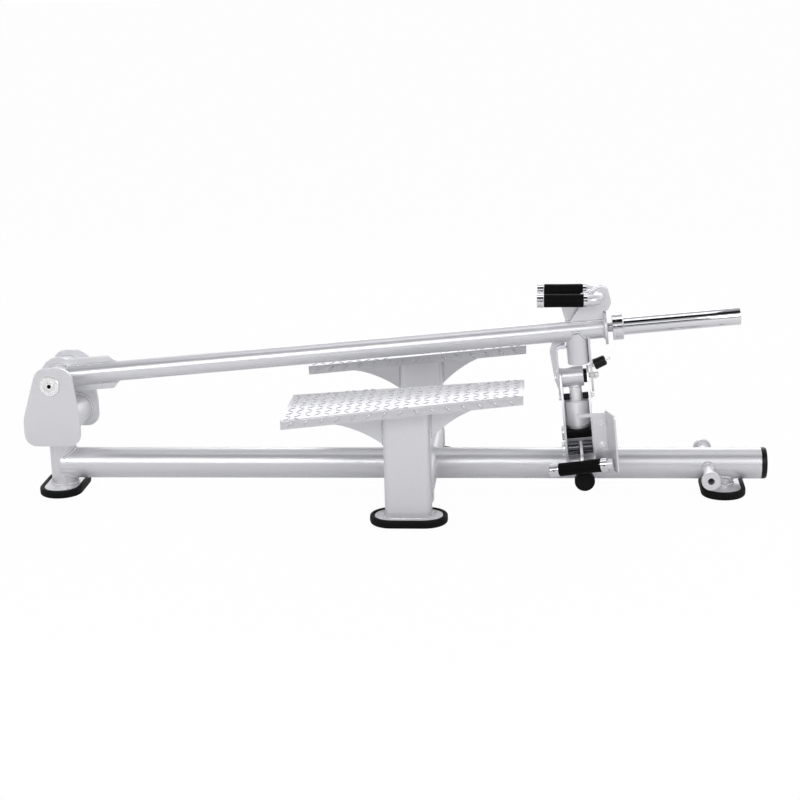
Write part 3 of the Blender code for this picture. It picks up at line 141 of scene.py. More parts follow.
def ring(bm, axis, centre, low, high, radius, bore, edge=0.0008):
    # A length of round tube with a small chamfer at both ends.
    out = math.copysign(edge, high - low)
    return turned(bm, axis, centre, [
        (low, bore), (low, radius - edge), (low + out, radius), (high - out, radius),
        (high, radius - edge), (high, bore),
    ])


def rod(bm, axis, centre, low, high, radius, edge=0.001):
    return ring(bm, axis, centre, low, high, radius, 0, edge)


def skin(bm, outlines):
    # Closes a run of outlines, each with the same number of points, into one solid.
    rings = [[bm.verts.new(point) for point in outline] for outline in outlines]
    bm.faces.new(rings[0])
    bm.faces.new(list(reversed(rings[-1])))
    for low, high in zip(rings, rings[1:]):
        for index in range(len(low)):
            after = (index + 1) % len(low)
            bm.faces.new([low[index], high[index], high[after], low[after]])
    return bm


def slab(bm, axis, outline, low, high):
    return skin(bm, [[spot(axis, along, *point) for point in outline] for along in (low, high)])


def soften(bm, width, segments=2):
    # Rounds the edges that turn by more than SHARP_TURN, in radians, as powder coat and
    # grinding leave them.
    bm.normal_update()
    sharp = [edge for edge in bm.edges
             if edge.is_manifold and edge.calc_face_angle() > SHARP_TURN]
    bmesh.ops.bevel(bm, geom=sharp, offset=width, segments=segments, profile=0.6,
                    affect="EDGES", clamp_overlap=True)
    return bm


def added(name, data):
    # Puts a mesh, a curve, a lamp or the camera into the scene.
    made = bpy.data.objects.new(name, data)
    bpy.context.scene.collection.objects.link(made)
    return made


def piece(name, bm, look, body, nodes=None, matrix=WORLD):
    # Finishes a piece, puts it on its body and lets it stand for its nodes. Where none are
    # given, it stands for the one node that has its own name.
    if nodes is None:
        nodes = [name]
    bmesh.ops.transform(bm, matrix=matrix, verts=bm.verts)
    bmesh.ops.recalc_face_normals(bm, faces=bm.faces)
    mesh = bpy.data.meshes.new(name)
    bm.to_mesh(mesh)
    bm.free()
    mesh.materials.append(look)
    mesh.shade_smooth()
    mesh.set_sharp_from_angle(angle=math.radians(38))
    made = added(name, mesh)
    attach(made, body)
    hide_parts(*nodes)


bm = rod(bmesh.new(), "X", BASE_AXIS, REAR_X, BASE_END, BASE_RADIUS)
piece("base_tube", bm, coat, "frame")

# End cap: a black moulded plug pushed into the front end of the base tube. Its face is a low
# dome with a rounded rim that sits flush with the tube.
plastic = material("black plastic", (0.003, 0.003, 0.0034), 0, 0.38, 0.25)
grain(plastic, 700, 0.00004)


def outward(face, side, profile):
    # Sets a (distance out, radius, sides) profile on a face, pointing to one side.
    return [(face + side * out, *rest) for out, *rest in profile]


bm = turned(bmesh.new(), "X", BASE_AXIS, outward(BASE_END, 1, [
    (-0.02, 0), (-0.02, 0.041), (0.0004, 0.041), (0.0004, 0.0444), (0.009, 0.0444),
    (0.0122, 0.0434), (0.0146, 0.0408), (0.0156, 0.036), (0.016, 0.02), (0.016, 0),
]))
piece("base_end_cap", bm, plastic, "frame")

# Rear post: a short upright tube welded to an oblong foot plate, with its head notched under the
# rear cross tube. The plate is flame-cut steel with its edges knocked off.
REAR_POST_RADIUS = 0.038
FOOT_REACH = 0.0445
FOOT_ROUND = 0.0492
FOOT_UNDER = 0.0105
FOOT_TOP = 0.0203
SINK = 0.002


def arc(centre, radius, start, end, steps):
    points = []
    for step in range(steps + 1):
        angle = start + (end - start) * step / steps
        points.append((centre[0] + radius * math.cos(angle), centre[1] + radius * math.sin(angle)))
    return points


def oblong(x, y, radius, along_x):
    # The outline of a foot: two half rounds with straight sides between them.
    if along_x:
        return (arc((x + FOOT_REACH, y), radius, -math.pi / 2, math.pi / 2, 24)
                + arc((x - FOOT_REACH, y), radius, math.pi / 2, 3 * math.pi / 2, 24))
    return (arc((x, y + FOOT_REACH), radius, 0, math.pi, 24)
            + arc((x, y - FOOT_REACH), radius, math.pi, 2 * math.pi, 24))


def foot_plate(bm, x, y, along_x):
    return slab(bm, "Z", oblong(x, y, FOOT_ROUND, along_x), FOOT_UNDER, FOOT_TOP)


def round_post(name, x, top, radius):
    # A round tube, let a little into the foot plate that it is welded to.
    bm = soften(foot_plate(bmesh.new(), x, 0, False), 0.0012)
    rod(bm, "Z", (x, 0), FOOT_TOP - SINK, top, radius)
    piece(name, bm, coat, "frame")


round_post("rear_post", REAR_X, 0.20, REAR_POST_RADIUS)

# Rear cross tube: the same round tube as the base, welded between the two pivot plates.
GAP = 0.0003
PLATE_INSIDE = 0.103
CROSS_AXIS = (REAR_X + 0.022, 0.215)
bm = rod(bmesh.new(), "Y", CROSS_AXIS, GAP - PLATE_INSIDE, PLATE_INSIDE - GAP, BASE_RADIUS)
piece("rear_cross_tube", bm, coat, "frame")

# Pivot plates: two thick laser-cut plates, round at the pivot and wider below it, with their
# edges broken. The shaft passes through both.
SIDES = (("near", -1), ("far", 1))
PIVOT = (REAR_X + 0.0074, 0.3388)
PLATE_OUTSIDE = PLATE_INSIDE + 0.010


def rounded(corners, steps=8):
    # Rounds the corners of an outline. Each corner is (first, second, radius).
    points = []
    count = len(corners)
    for index, (first, second, radius) in enumerate(corners):
        here = Vector((first, second))
        if radius == 0:
            points.append((first, second))
            continue
        before = (Vector(corners[index - 1][:2]) - here).normalized()
        after = (Vector(corners[(index + 1) % count][:2]) - here).normalized()
        half = before.angle(after) / 2
        middle = here + (before + after).normalized() * radius / math.sin(half)
        start = here + before * radius / math.tan(half) - middle
        end = here + after * radius / math.tan(half) - middle
        swing = start.angle_signed(end)
        for step in range(steps + 1):
            turn = -swing * step / steps
            points.append((middle.x + start.x * math.cos(turn) - start.y * math.sin(turn),
                           middle.y + start.x * math.sin(turn) + start.y * math.cos(turn)))
    return points


back, front = REAR_X - 0.077, REAR_X + 0.086
bottom, waist, top = 0.160, 0.240, 0.3898
outline = rounded([
    (back, bottom, 0.036), (front, bottom, 0.036), (front, waist, 0.110),
    (REAR_X + 0.070, top, 0.040), (REAR_X - 0.030, top, 0.040), (back, waist, 0.110),
], 12)
for name, side in SIDES:
    bm = slab(bmesh.new(), "Y", outline, side * PLATE_INSIDE, side * PLATE_OUTSIDE)
    piece("pivot_plate_" + name, soften(bm, 0.0012), coat, "frame")

# Pivot shaft: a turned steel pin held by a zinc-plated washer at each end. Each washer has a
# chamfered rim and a socket screw sunk in its middle.
zinc = material("zinc plate", (0.90, 0.90, 0.895), 0.6, 0.28)
grain(zinc, 400, 0.000004, gloss=(0.26, 0.32))


def washer_cap(bm, side):
    washer = [(0, 0), (0, 0.0280), (0.0012, 0.0293), (0.0036, 0.0293), (0.0058, 0.0270),
              (0.0058, 0.0160), (0.0030, 0.0150), (0.0030, 0)]
    screw = [(0.001, 0), (0.001, 0.0118), (0.0062, 0.0118), (0.0074, 0.0104),
             (0.0074, 0.0058, 6), (0.0030, 0.0056, 6), (0.0030, 0)]
    for profile in (washer, screw):
        turned(bm, "Y", PIVOT, outward(side * (PLATE_OUTSIDE + 0.0001), side, profile))
    return bm


bm = rod(bmesh.new(), "Y", PIVOT, -0.1125, 0.1125, 0.015)
piece("pivot_shaft", washer_cap(bm, -1), zinc, "frame")
piece("pivot_cap_far", washer_cap(bmesh.new(), 1), zinc, "frame")

# Rubber feet: four black moulded shoes, each an oblong tray with a round-topped rim. The steel
# foot plate lies in the tray.
STUB_X = REAR_X + 1.906
POST_X = REAR_X + 1.0345
POST_Y = 0.290
rubber = material("black rubber", (0.003, 0.003, 0.0034), 0, 0.55, 0.14)
grain(rubber, 500, 0.00008)


def foot(name, x, y, along_x):
    # (radius, height) steps run up the outside of the shoe, over its rim and down into the tray.
    rim = [(0.0595, 0), (0.0615, 0.002), (0.0625, 0.006), (0.0625, 0.017), (0.06175, 0.0202),
           (0.060, 0.022), (0.053, 0.022), (0.05125, 0.0205), (0.0505, 0.017), (0.050, 0.0101)]
    bm = skin(bmesh.new(), [[(*point, height) for point in oblong(x, y, radius, along_x)]
                            for radius, height in rim])
    piece(name + "_shoe", bm, rubber, "frame", [name])


foot("rear_foot", REAR_X, 0, False)
foot("front_foot", STUB_X, 0, False)
foot("near_foot", POST_X, -POST_Y, True)
foot("far_foot", POST_X, POST_Y, True)

# Front stub: a short round tube, narrower than the rear post. It stands on the front foot plate
# and is welded to the underside of the base tube.
STUB_RADIUS = 0.030
round_post("front_stub", STUB_X, 0.050, STUB_RADIUS)

# Band peg: a thick-walled tube through the base tube, with a disc welded on at each end to keep
# a stretched band from slipping off.
PEG_AXIS = (REAR_X + 1.862, 0.0752)


def both_ends(half):
    # A turned profile that is alike at both ends, from its half on the far side.
    return [(-along, radius) for along, radius in reversed(half)] + half


bm = turned(bmesh.new(), "Y", PEG_AXIS, both_ends([
    (0.150, 0.0152), (0.150, 0.0245), (0.1515, 0.026), (0.1635, 0.026), (0.165, 0.0245),
    (0.165, 0.0095),
]))
piece("band_peg", bm, coat, "frame")

# Handle rest: a tube welded into the near side of the base under the lower grip, closed by a
# black rubber cup. The near grip comes down over it.
REST_AXIS = (REAR_X + 1.516, 0.0625)
bm = rod(bmesh.new(), "Y", REST_AXIS, -0.118, -0.011, 0.0265)
piece("handle_rest_tube", bm, coat, "frame")
bm = turned(bmesh.new(), "Y", REST_AXIS, [
    (-0.1084, 0.0267), (-0.1082, 0.0280), (-0.1090, 0.0284), (-0.1255, 0.0284),
    (-0.1285, 0.0272), (-0.1300, 0.0245), (-0.1300, 0.012), (-0.1290, 0.010),
    (-0.1290, 0.0005), (-0.1186, 0.0005), (-0.1186, 0.0267),
])
piece("handle_rest_cup", bm, rubber, "frame", ["handle_rest_cap"])

# Base bumper: a strip of black rubber bonded over the top of the base tube, where the carriage
# comes to rest. Its dark face is also painted shade: it stands for the shadow and the dark
# reflection that the carriage lays on the top of the tube.
BUMPER_AND_SHADE_X = REAR_X + 1.455
BUMPER_AND_SHADE_LENGTH = 0.104
start, end = math.radians(90 - 26), math.radians(90 + 26)
outline = arc(BASE_AXIS, BASE_RADIUS + 0.0042, start, end, 28)
outline += arc(BASE_AXIS, BASE_RADIUS + GAP, end, start, 28)
bm = soften(slab(bmesh.new(), "X", outline, BUMPER_AND_SHADE_X, BUMPER_AND_SHADE_X + BUMPER_AND_SHADE_LENGTH), 0.0008)
piece("base_bumper", bm, rubber, "frame")

# Platform posts: upright rectangular tubes with round corners, each welded to its foot plate.
# Two curved gussets spread from its head under the footplate.
POST_WIDTH = 0.127
POST_DEPTH = 0.068
POST_CORNER = 0.018
TREAD_X = REAR_X + 0.711
TREAD_HEIGHT = 0.3246
SLOPE = math.radians(4.6)
SHEET = 0.004
UNDER = SHEET + GAP


def tread_top(x):
    return TREAD_HEIGHT + (x - TREAD_X) * math.tan(SLOPE)


def soft_box(first, second, width, depth, radius):
    x0, x1 = first - width / 2, first + width / 2
    y0, y1 = second - depth / 2, second + depth / 2
    return rounded([(x0, y0, radius), (x1, y0, radius), (x1, y1, radius), (x0, y1, radius)], 10)


def gusset(start, reach, depth, nose):
    # A plate with a hollow lower edge, from the post's side out to its blunt nose.
    points = [(x, tread_top(x) - UNDER) for x in (start, start + reach)]
    for step in range(25):
        part = step / 24
        x = start + reach * (1 - part)
        points.append((x, tread_top(x) - UNDER - nose - (depth - nose) * part * part))
    return points


for name, side in SIDES:
    y = side * POST_Y
    bm = bmesh.new()
    root = POST_WIDTH / 2 - 0.0015
    for web in (gusset(POST_X - root, -0.1915, 0.1225, 0.046),
                gusset(POST_X + root, 0.1715, 0.115, 0.035)):
        slab(bm, "Y", web, y - 0.004, y + 0.004)
    foot_plate(bm, POST_X, y, True)
    soften(bm, 0.0008)
    outline = soft_box(POST_X, y, POST_WIDTH, POST_DEPTH, POST_CORNER)
    skin(bm, [[(*point, FOOT_TOP - SINK) for point in outline],
              [(*point, tread_top(point[0]) - UNDER) for point in outline]])
    piece("platform_post_" + name, bm, coat, "frame")

# Connectors: two lengths of rectangular tube as wide as the posts. Each lies across the machine
# and is welded between a post and the side of the base tube.
outline = soft_box(POST_X, BASE_HEIGHT, POST_WIDTH, 0.076, POST_CORNER)
for name, side in SIDES:
    bm = slab(bmesh.new(), "Y", outline, side * 0.035, side * (POST_Y - POST_DEPTH / 2 - GAP))
    piece("post_connector_" + name, bm, coat, "frame")

# Footplates: tread plate cut to a taper, with its two long edges folded down. Raised lugs stand
# over the whole sheet, on the folds too, each turned across its neighbours.
TREAD_LENGTH = 0.639
REAR_EDGES = (0.156, 0.421)
FRONT_EDGES = (0.193, 0.364)
FOLD = 0.025
tread = material("tread plate", (0.66, 0.66, 0.68), 0.6, 0.34)
grain(tread, 600, 0.00001, tone=((0.60, 0.60, 0.62), (0.70, 0.70, 0.72)))
lug_metal = material("worn lug", (0.62, 0.62, 0.64), 0.8, 0.25)


def node_tree(name, sizes):
    # A Geometry Nodes tree with a geometry, these sizes and a finish as its inputs.
    tree = bpy.data.node_groups.new(name, "GeometryNodeTree")
    new = tree.interface.new_socket
    new("Geometry", in_out="INPUT", socket_type="NodeSocketGeometry")
    new("Geometry", in_out="OUTPUT", socket_type="NodeSocketGeometry")
    for label, size in sizes.items():
        new(label, in_out="INPUT", socket_type="NodeSocketFloat").default_value = size
    new("Finish", in_out="INPUT", socket_type="NodeSocketMaterial")
    return tree, node(tree, "NodeGroupInput")


def tree_end(tree, start, copies):
    # Makes the copies real, gives them the finish and hands them out of the tree.
    real = node(tree, "GeometryNodeRealizeInstances")
    look = node(tree, "GeometryNodeSetMaterial")
    end = node(tree, "NodeGroupOutput")
    wire(tree, (copies, "Instances", real, "Geometry"), (real, "Geometry", look, "Geometry"),
         (start, "Finish", look, "Material"), (look, "Geometry", end, "Geometry"))
    return tree


def lug_tree():
    # Stands a lug on each point of the mesh that it is given. The lug turns by the point's own
    # "turn" about its "face" direction.
    tree, start = node_tree("tread lugs", {"Length": 0.024, "Width": 0.0062, "Height": 0.0021})
    ball = node(tree, "GeometryNodeMeshUVSphere", {"Segments": 16, "Rings": 8, "Radius": 0.5})
    doubled = node(tree, "ShaderNodeMath", {1: 2}, operation="MULTIPLY")
    size = node(tree, "ShaderNodeCombineXYZ")
    shape = node(tree, "GeometryNodeTransform")
    face = node(tree, "GeometryNodeInputNamedAttribute", {"Name": "face"},
                data_type="FLOAT_VECTOR")
    turn = node(tree, "GeometryNodeInputNamedAttribute", {"Name": "turn"})
    along = node(tree, "FunctionNodeAlignRotationToVector", axis="Z")
    about = node(tree, "ShaderNodeCombineXYZ")
    spin = node(tree, "FunctionNodeRotateRotation", rotation_space="LOCAL")
    copies = node(tree, "GeometryNodeInstanceOnPoints")
    wire(tree, (start, "Length", size, "X"), (start, "Width", size, "Y"),
         (start, "Height", doubled, 0), (doubled, "Value", size, "Z"),
         (ball, "Mesh", shape, "Geometry"), (size, "Vector", shape, "Scale"),
         (face, "Attribute", along, "Vector"), (along, "Rotation", spin, "Rotation"),
         (turn, "Attribute", about, "Z"), (about, "Vector", spin, "Rotate By"),
         (start, "Geometry", copies, "Points"), (shape, "Geometry", copies, "Instance"),
         (spin, "Rotation", copies, "Rotation"))
    return tree_end(tree, start, copies)


def grow(name, body, source, tree, values):
    # Makes a piece, as plain mesh data, of what a Geometry Nodes tree grows on an object.
    modifier = source.modifiers.new("grow", "NODES")
    modifier.node_group = tree
    for item in tree.interface.items_tree:
        if item.in_out == "INPUT" and item.name in values:
            modifier[item.identifier] = values[item.name]
    graph = bpy.context.evaluated_depsgraph_get()
    graph.update()
    mesh = bpy.data.meshes.new_from_object(source.evaluated_get(graph))
    bpy.data.objects.remove(source, do_unlink=True)
    mesh.shade_smooth()
    made = added(name, mesh)
    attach(made, body)


def tread_edges(x):
    # How far out the inner and the outer edge of a footplate are, at one place along it.
    share = (x - TREAD_X) / TREAD_LENGTH
    return [rear + (front - rear) * share for rear, front in zip(REAR_EDGES, FRONT_EDGES)]


def lug_points(side):
    # (place, face direction, turn) of every lug on one footplate.
    points = []
    normal = Vector((-math.sin(SLOPE), 0, math.cos(SLOPE)))
    pitch, margin = 0.0262, 0.006
    for column in range(int(TREAD_LENGTH / pitch)):
        x = TREAD_X + 0.016 + pitch * column
        inner, outer = tread_edges(x)
        for row in range(11):
            y = 0.149 + pitch * row
            if inner + margin < y < outer - margin:
                turn = math.radians(45 if (column + row) % 2 else -45)
                points.append(((x, side * y, tread_top(x)), normal, side * turn))
    pitch, lean = 0.0415, 0.7
    for column in range(int(TREAD_LENGTH / pitch)):
        x = TREAD_X + 0.024 + pitch * column
        turn = lean if x < TREAD_X + TREAD_LENGTH / 2 else -lean
        z = tread_top(x) - 0.0130
        inner, outer = tread_edges(x)
        points.append(((x, side * outer, z), Vector((0, side, 0)), turn))
        points.append(((x, side * inner, z), Vector((0, -side, 0)), turn))
    return points


lugs = lug_tree()
for name, side in SIDES:
    sections = []
    for x in (TREAD_X, TREAD_X + TREAD_LENGTH):
        inner, outer = tread_edges(x)
        top = tread_top(x)
        within = top - SHEET
        profile = [(outer, top - FOLD)]
        profile += arc((outer - SHEET, within), SHEET, 0, math.pi / 2, 4)
        profile += arc((inner + SHEET, within), SHEET, math.pi / 2, math.pi, 4)
        profile += [(inner, top - FOLD), (inner + SHEET, top - FOLD), (inner + SHEET, within),
                    (outer - SHEET, within), (outer - SHEET, top - FOLD)]
        sections.append([(x, side * y, z) for y, z in profile])
    piece("platform_" + name, skin(bmesh.new(), sections), tread, "frame")

    places, faces, turns = zip(*lug_points(side))
    cloud = bpy.data.meshes.new("lug points " + name)
    cloud.from_pydata(places, [], [])
    cloud.attributes.new("face", "FLOAT_VECTOR", "POINT")
    cloud.attributes.new("turn", "FLOAT", "POINT")
    cloud.attributes["face"].data.foreach_set("vector", [part for face in faces for part in face])
    cloud.attributes["turn"].data.foreach_set("value", turns)
    source = added("lug points " + name, cloud)
    grow("tread_lugs_" + name, "frame", source, lugs, {"Finish": lug_metal})

# Lever hub: a short thick tube across the rear end of the lever. A plate wraps it and runs on
# along the lever above and below, and a bronze bushing lines it.
LEVER_ANGLE = math.radians(4.929)
LEVER = (Matrix.Translation((PIVOT[0], 0, PIVOT[1])) @ Matrix.Rotation(-LEVER_ANGLE, 4, "Y"))
wrap, height = 0.056, 0.048
start = math.asin(height / wrap)
outline = arc((0, 0), wrap, start, 2 * math.pi - start, 60)
outline += [(0.154, -height), (0.172, -0.030), (0.172, 0.030), (0.154, height)]
bm = soften(slab(bmesh.new(), "Y", outline, -0.005, 0.005), 0.001)
ring(bm, "Y", (0, 0), -0.098, 0.098, 0.036, 0.024, 0.001)
piece("lever_hub", bm, coat, "lever", matrix=LEVER)
bronze = material("bronze", (0.45, 0.30, 0.14), 1.0, 0.35)
bm = turned(bmesh.new(), "Y", (0, 0), both_ends([
    (0.0983, 0.0237), (0.0983, 0.028), (PLATE_INSIDE - GAP, 0.028),
    (PLATE_INSIDE - GAP, 0.0153),
]))
piece("hub_bushing", bm, bronze, "lever", matrix=LEVER)

# Lever tube: a long straight round tube, welded to the hub at the back and closed by a round
# flange at the front. The flange carries the spindle of the weight sleeve.
LEVER_RADIUS = 0.0285
LEVER_END = 1.570
bm = rod(bmesh.new(), "X", (0, 0), 0.030, LEVER_END, LEVER_RADIUS)
piece("lever_tube", bm, coat, "lever", matrix=LEVER)
flange_end = LEVER_END + GAP + 0.008
bm = rod(bmesh.new(), "X", (0, 0), LEVER_END + GAP, flange_end, 0.0475, 0.0014)
piece("lever_end_flange", bm, coat, "lever", matrix=LEVER)
steel = material("ground steel", (0.52, 0.52, 0.54), 1.0, 0.3)
bm = rod(bmesh.new(), "X", (0, 0), flange_end + GAP, 1.9335, 0.013)
piece("sleeve_spindle", bm, steel, "lever", matrix=LEVER)

# Weight sleeve: a bright plated tube that turns on the spindle, with a wide collar at its root
# for the plates to stop against. Its outer end is closed, and a bush carries it inside.
SLEEVE_START = 1.5918
chrome = material("chrome", (0.82, 0.82, 0.84), 1.0, 0.07)
bm = turned(bmesh.new(), "X", (0, 0), outward(SLEEVE_START, 1, [
    (0.3437, 0), (0.3437, 0.020), (0, 0.020), (0, 0.0358), (0.0016, 0.0374), (0.0094, 0.0374),
    (0.0098, 0.0366), (0.0116, 0.0366), (0.0120, 0.0374), (0.0284, 0.0374), (0.0300, 0.0358),
    (0.0300, 0.0262), (0.0315, 0.025), (0.3512, 0.025), (0.3532, 0.0243), (0.3540, 0.0230),
    (0.3540, 0.0165), (0.3527, 0.0160), (0.3527, 0),
]))
piece("weight_sleeve", bm, chrome, "sleeve", matrix=LEVER)
bm = ring(bmesh.new(), "X", (0, 0), SLEEVE_START, SLEEVE_START + 0.3347, 0.0197, 0.0133)
piece("sleeve_bush", bm, bronze, "sleeve", matrix=LEVER)

# Upper bracket: two upright plates welded on top of the lever, from over the neck to its end.
# The crossbar of the upper grips passes through both.
BAR = (1.560, 0.0938)
BRACKET_THICK = 0.008
BRACKET_INSIDE = 0.006
lobe = 0.034
right = [
    (LEVER_END, 0.010, 0), (LEVER_END, 0.0505, 0), (BAR[0] + lobe * 0.66, 0.0505, 0.006),
    (BAR[0] + lobe, BAR[1] - lobe * 0.66, 0.012),
    (BAR[0] + lobe * 0.82, BAR[1] + lobe * 0.42, 0.020),
    (BAR[0] + lobe * 0.35, BAR[1] + lobe * 0.86, 0.016),
]
left = {
    "near": [(BAR[0] - lobe * 0.72, BAR[1] + lobe * 0.45, 0.020), (1.468, 0.0171, 0)],
    "far": [(1.4530, 0.0778, 0.006), (1.4650, 0.0171, 0)],
}
for name, side in SIDES:
    bm = slab(bmesh.new(), "Y", rounded(right + left[name]), side * BRACKET_INSIDE,
              side * (BRACKET_INSIDE + BRACKET_THICK))
    piece("upper_bracket_" + name, soften(bm, 0.001), coat, "lever", matrix=LEVER)

# Upper grips: one round bar bent to a U, level while the lever is down. Each leg has a black
# rubber sleeve between two plated collars, and a set screw holds each collar.
LEVEL = (LEVER @ Matrix.Translation((BAR[0], 0, BAR[1])) @ Matrix.Rotation(LEVER_ANGLE, 4, "Y"))
BEND = 0.028
LEG = 0.068
GRIP_BAR_RADIUS = 0.0155
GRIP_BORE = 0.0158


def bent_bar(bm, path, radius, steps=32):
    # A round bar along a flat path of (x, y) points.
    outlines = []
    for index, (x, y) in enumerate(path):
        heading = (Vector(path[min(index + 1, len(path) - 1)])
                   - Vector(path[max(index - 1, 0)])).normalized()
        outline = []
        for step in range(steps):
            angle = 2 * math.pi * step / steps
            across, rise = radius * math.cos(angle), radius * math.sin(angle)
            outline.append((x + heading.y * across, y - heading.x * across, rise))
        outlines.append(outline)
    return skin(bm, outlines)


path = [(-0.1695, -LEG)]
path += arc((-BEND, BEND - LEG), BEND, -math.pi / 2, 0, 16)
path += [(x, -y) for x, y in reversed(path)]
bm = bent_bar(bmesh.new(), path, GRIP_BAR_RADIUS)
piece("upper_grip_bar", bm, coat, "lever", matrix=LEVEL)

grip_rubber = material("grip rubber", (0.002, 0.002, 0.0023), 0, 0.6, 0.08)
grain(grip_rubber, 260, 0.0006)


def grip_sleeve(centre, low, high):
    # A moulded sleeve with rounded ends and a slightly thinner middle.
    radius, waist, nose = 0.0185, 0.0004, 0.0024
    rim = [(0, GRIP_BORE), (0, 0.0168), (0.0008, 0.0179), (nose, radius)]
    profile = outward(low, 1, rim)
    for step in range(1, 8):
        share = step / 8
        profile.append((low + nose + (high - low - 2 * nose) * share,
                        radius - waist * math.sin(math.pi * share)))
    profile += outward(high, -1, reversed(rim))
    return turned(bmesh.new(), "X", centre, profile)


def collar(centre, low, high, closed=False):
    # A plated clamp ring with a turned groove.
    edge, radius = 0.001, 0.0195
    bore = 0 if closed else GRIP_BORE
    return turned(bmesh.new(), "X", centre, [
        (low, bore), (low, 0.0180), (low + edge, radius), (low + 0.006, radius),
        (low + 0.0065, 0.0190), (low + 0.0080, 0.0190), (low + 0.0085, radius),
        (high - edge, radius), (high, radius - edge), (high, bore),
    ])


def set_screws(name, body, places, matrix):
    # Black set screws in the near side of the collars at these (x, y) places.
    bm = bmesh.new()
    for x, y in places:
        rod(bm, "Y", (x, 0.003), y - 0.0198, y - 0.0165, 0.0024)
    piece(name, bm, plastic, body, [], matrix)


set_screws("upper_set_screws", "lever",
           [(x, y) for x in (-0.0345, -0.1580) for y in (-LEG, LEG)], LEVEL)
for name, side in SIDES:
    centre = (side * LEG, 0)
    piece("upper_inner_collar_" + name, collar(centre, -0.0420, -0.0300), chrome, "lever", [],
          LEVEL)
    piece("upper_grip_" + name, grip_sleeve(centre, -0.1503, -0.0423), grip_rubber, "lever",
          matrix=LEVEL)
    piece("upper_end_collar_" + name, collar(centre, -0.1696, -0.1506, closed=True), chrome,
          "lever", matrix=LEVEL)

# Neck: a short tube that hangs from the lever, and two hangers beside it that hold the swing
# bolt. The left one is a strap bent round with a rib on its far edge, the right one a flat bar.
NECK = (1.490, 0)
HANGER_HALF = 0.022
HANGER_END = -0.180
bm = rod(bmesh.new(), "Z", NECK, -0.0945, -0.005, 0.0305)
piece("neck_tube", bm, coat, "lever", matrix=LEVER)
face, back = 1.4332, 1.4272
outline = rounded([
    (1.4600, -0.040, 0), (back, -0.040, 0.015), (back, HANGER_END, 0), (face, HANGER_END, 0),
    (face, -0.046, 0.009), (1.4600, -0.046, 0),
], 10)
bm = slab(bmesh.new(), "Y", outline, -HANGER_HALF, HANGER_HALF)
outline = rounded([
    (1.4302, -0.166, 0), (1.4252, -0.166, 0.002), (1.4172, -0.1325, 0.03),
    (1.4112, -0.056, 0.008), (1.4212, -0.031, 0.008), (1.4555, -0.031, 0.002),
    (1.4555, -0.043, 0), (1.4412, -0.043, 0), (1.4302, -0.056, 0),
], 8)
slab(bm, "Y", outline, 0.012, 0.020)
piece("left_hanger", soften(bm, 0.0008), coat, "lever", matrix=LEVER)
outline = rounded([
    (-HANGER_HALF, -0.018, 0), (-HANGER_HALF, HANGER_END, 0.018),
    (HANGER_HALF, HANGER_END, 0.018), (HANGER_HALF, -0.018, 0),
], 10)
bm = soften(slab(bmesh.new(), "X", outline, 1.5208, 1.5268), 0.0008)
piece("right_hanger", bm, coat, "lever", matrix=LEVER)

# Swing bolt: a long hex bolt through both hangers, with a washer under its head and a nut with
# a washer at the other end. The carriage hangs on it.
SWING = (0, -0.1325)


def hex_head(bm, centre, start, end, flats):
    # A hex head or nut along X from start to end, with its outer corners turned off.
    out = math.copysign(0.0012, end - start)
    turned(bm, "X", centre, [(start, 0), (start, flats, 6), (end - out, flats, 6),
                             (end, flats * 0.93), (end, 0)], 48)


bm = rod(bmesh.new(), "X", SWING, 1.420, 1.5430, 0.0078)
hex_head(bm, SWING, 1.4250, 1.4190, 0.0098)
for low, high in ((1.4269, 1.4252), (1.5271, 1.5287)):
    ring(bm, "X", SWING, low, high, 0.0115, 0.007, 0.0004)
hex_head(bm, SWING, 1.5288, 1.5380, 0.0098)
piece("swing_bolt", bm, zinc, "lever", matrix=LEVER)

# Pull pin: a spring plunger screwed into the right hanger, tilted up. Its black knob is moulded
# on the pin's shank, and a bright stem shows beyond it.
PIN = (LEVER @ Matrix.Translation((1.5238, 0, -0.1070))
       @ Matrix.Rotation(-math.radians(20), 4, "Y"))
SHANK_BORE = 0.0053
bm = turned(bmesh.new(), "X", (0, 0), [
    (0.0066, SHANK_BORE), (0.0066, 0.0085), (0.0281, 0.0085), (0.0285, 0.008),
    (0.0285, SHANK_BORE),
])
piece("plunger_barrel", bm, zinc, "lever", matrix=PIN)
bm = turned(bmesh.new(), "X", (0, 0), [
    (0.0300, SHANK_BORE), (0.0300, 0.0088), (0.0098, 0.0088), (0.0098, 0.0146),
    (0.0110, 0.0157), (0.0160, 0.0157), (0.0180, 0.0152), (0.0370, 0.0147), (0.0410, 0.0143),
    (0.0433, 0.0128), (0.0444, 0.0100), (0.0444, SHANK_BORE),
])
piece("pull_pin_knob", bm, plastic, "pin", ["pull_pin"], PIN)
bm = turned(bmesh.new(), "X", (0, 0), [
    (-0.0053, 0), (-0.0053, 0.0040), (-0.0043, 0.0050), (0.0440, 0.0050), (0.0448, 0.0032),
    (0.0570, 0.0032), (0.0576, 0.0026), (0.0576, 0),
])
piece("pull_pin_shank", bm, chrome, "pin", ["pull_pin"], PIN)

# Carriage: two thick fork plates stand across the lever, joined below by a yoke. They hang on
# the swing bolt, and their legs come down on both sides of the base tube.
FORK_LEFT = 1.4335
FORK_RIGHT = 1.510
FORK_THICK = 0.006
BAY_LEFT = FORK_LEFT + FORK_THICK + GAP
BAY_RIGHT = FORK_RIGHT - GAP
YOKE_TOP = -0.3006
PAD_HALF = 0.048
NOTCH = 0.2048
inner, outer = 0.060, 0.100
shoulder, foot_end = SWING[1] - 0.153, SWING[1] - 0.240


def box_outline(left, right, low, high):
    return [(left, low), (right, low), (right, high), (left, high)]


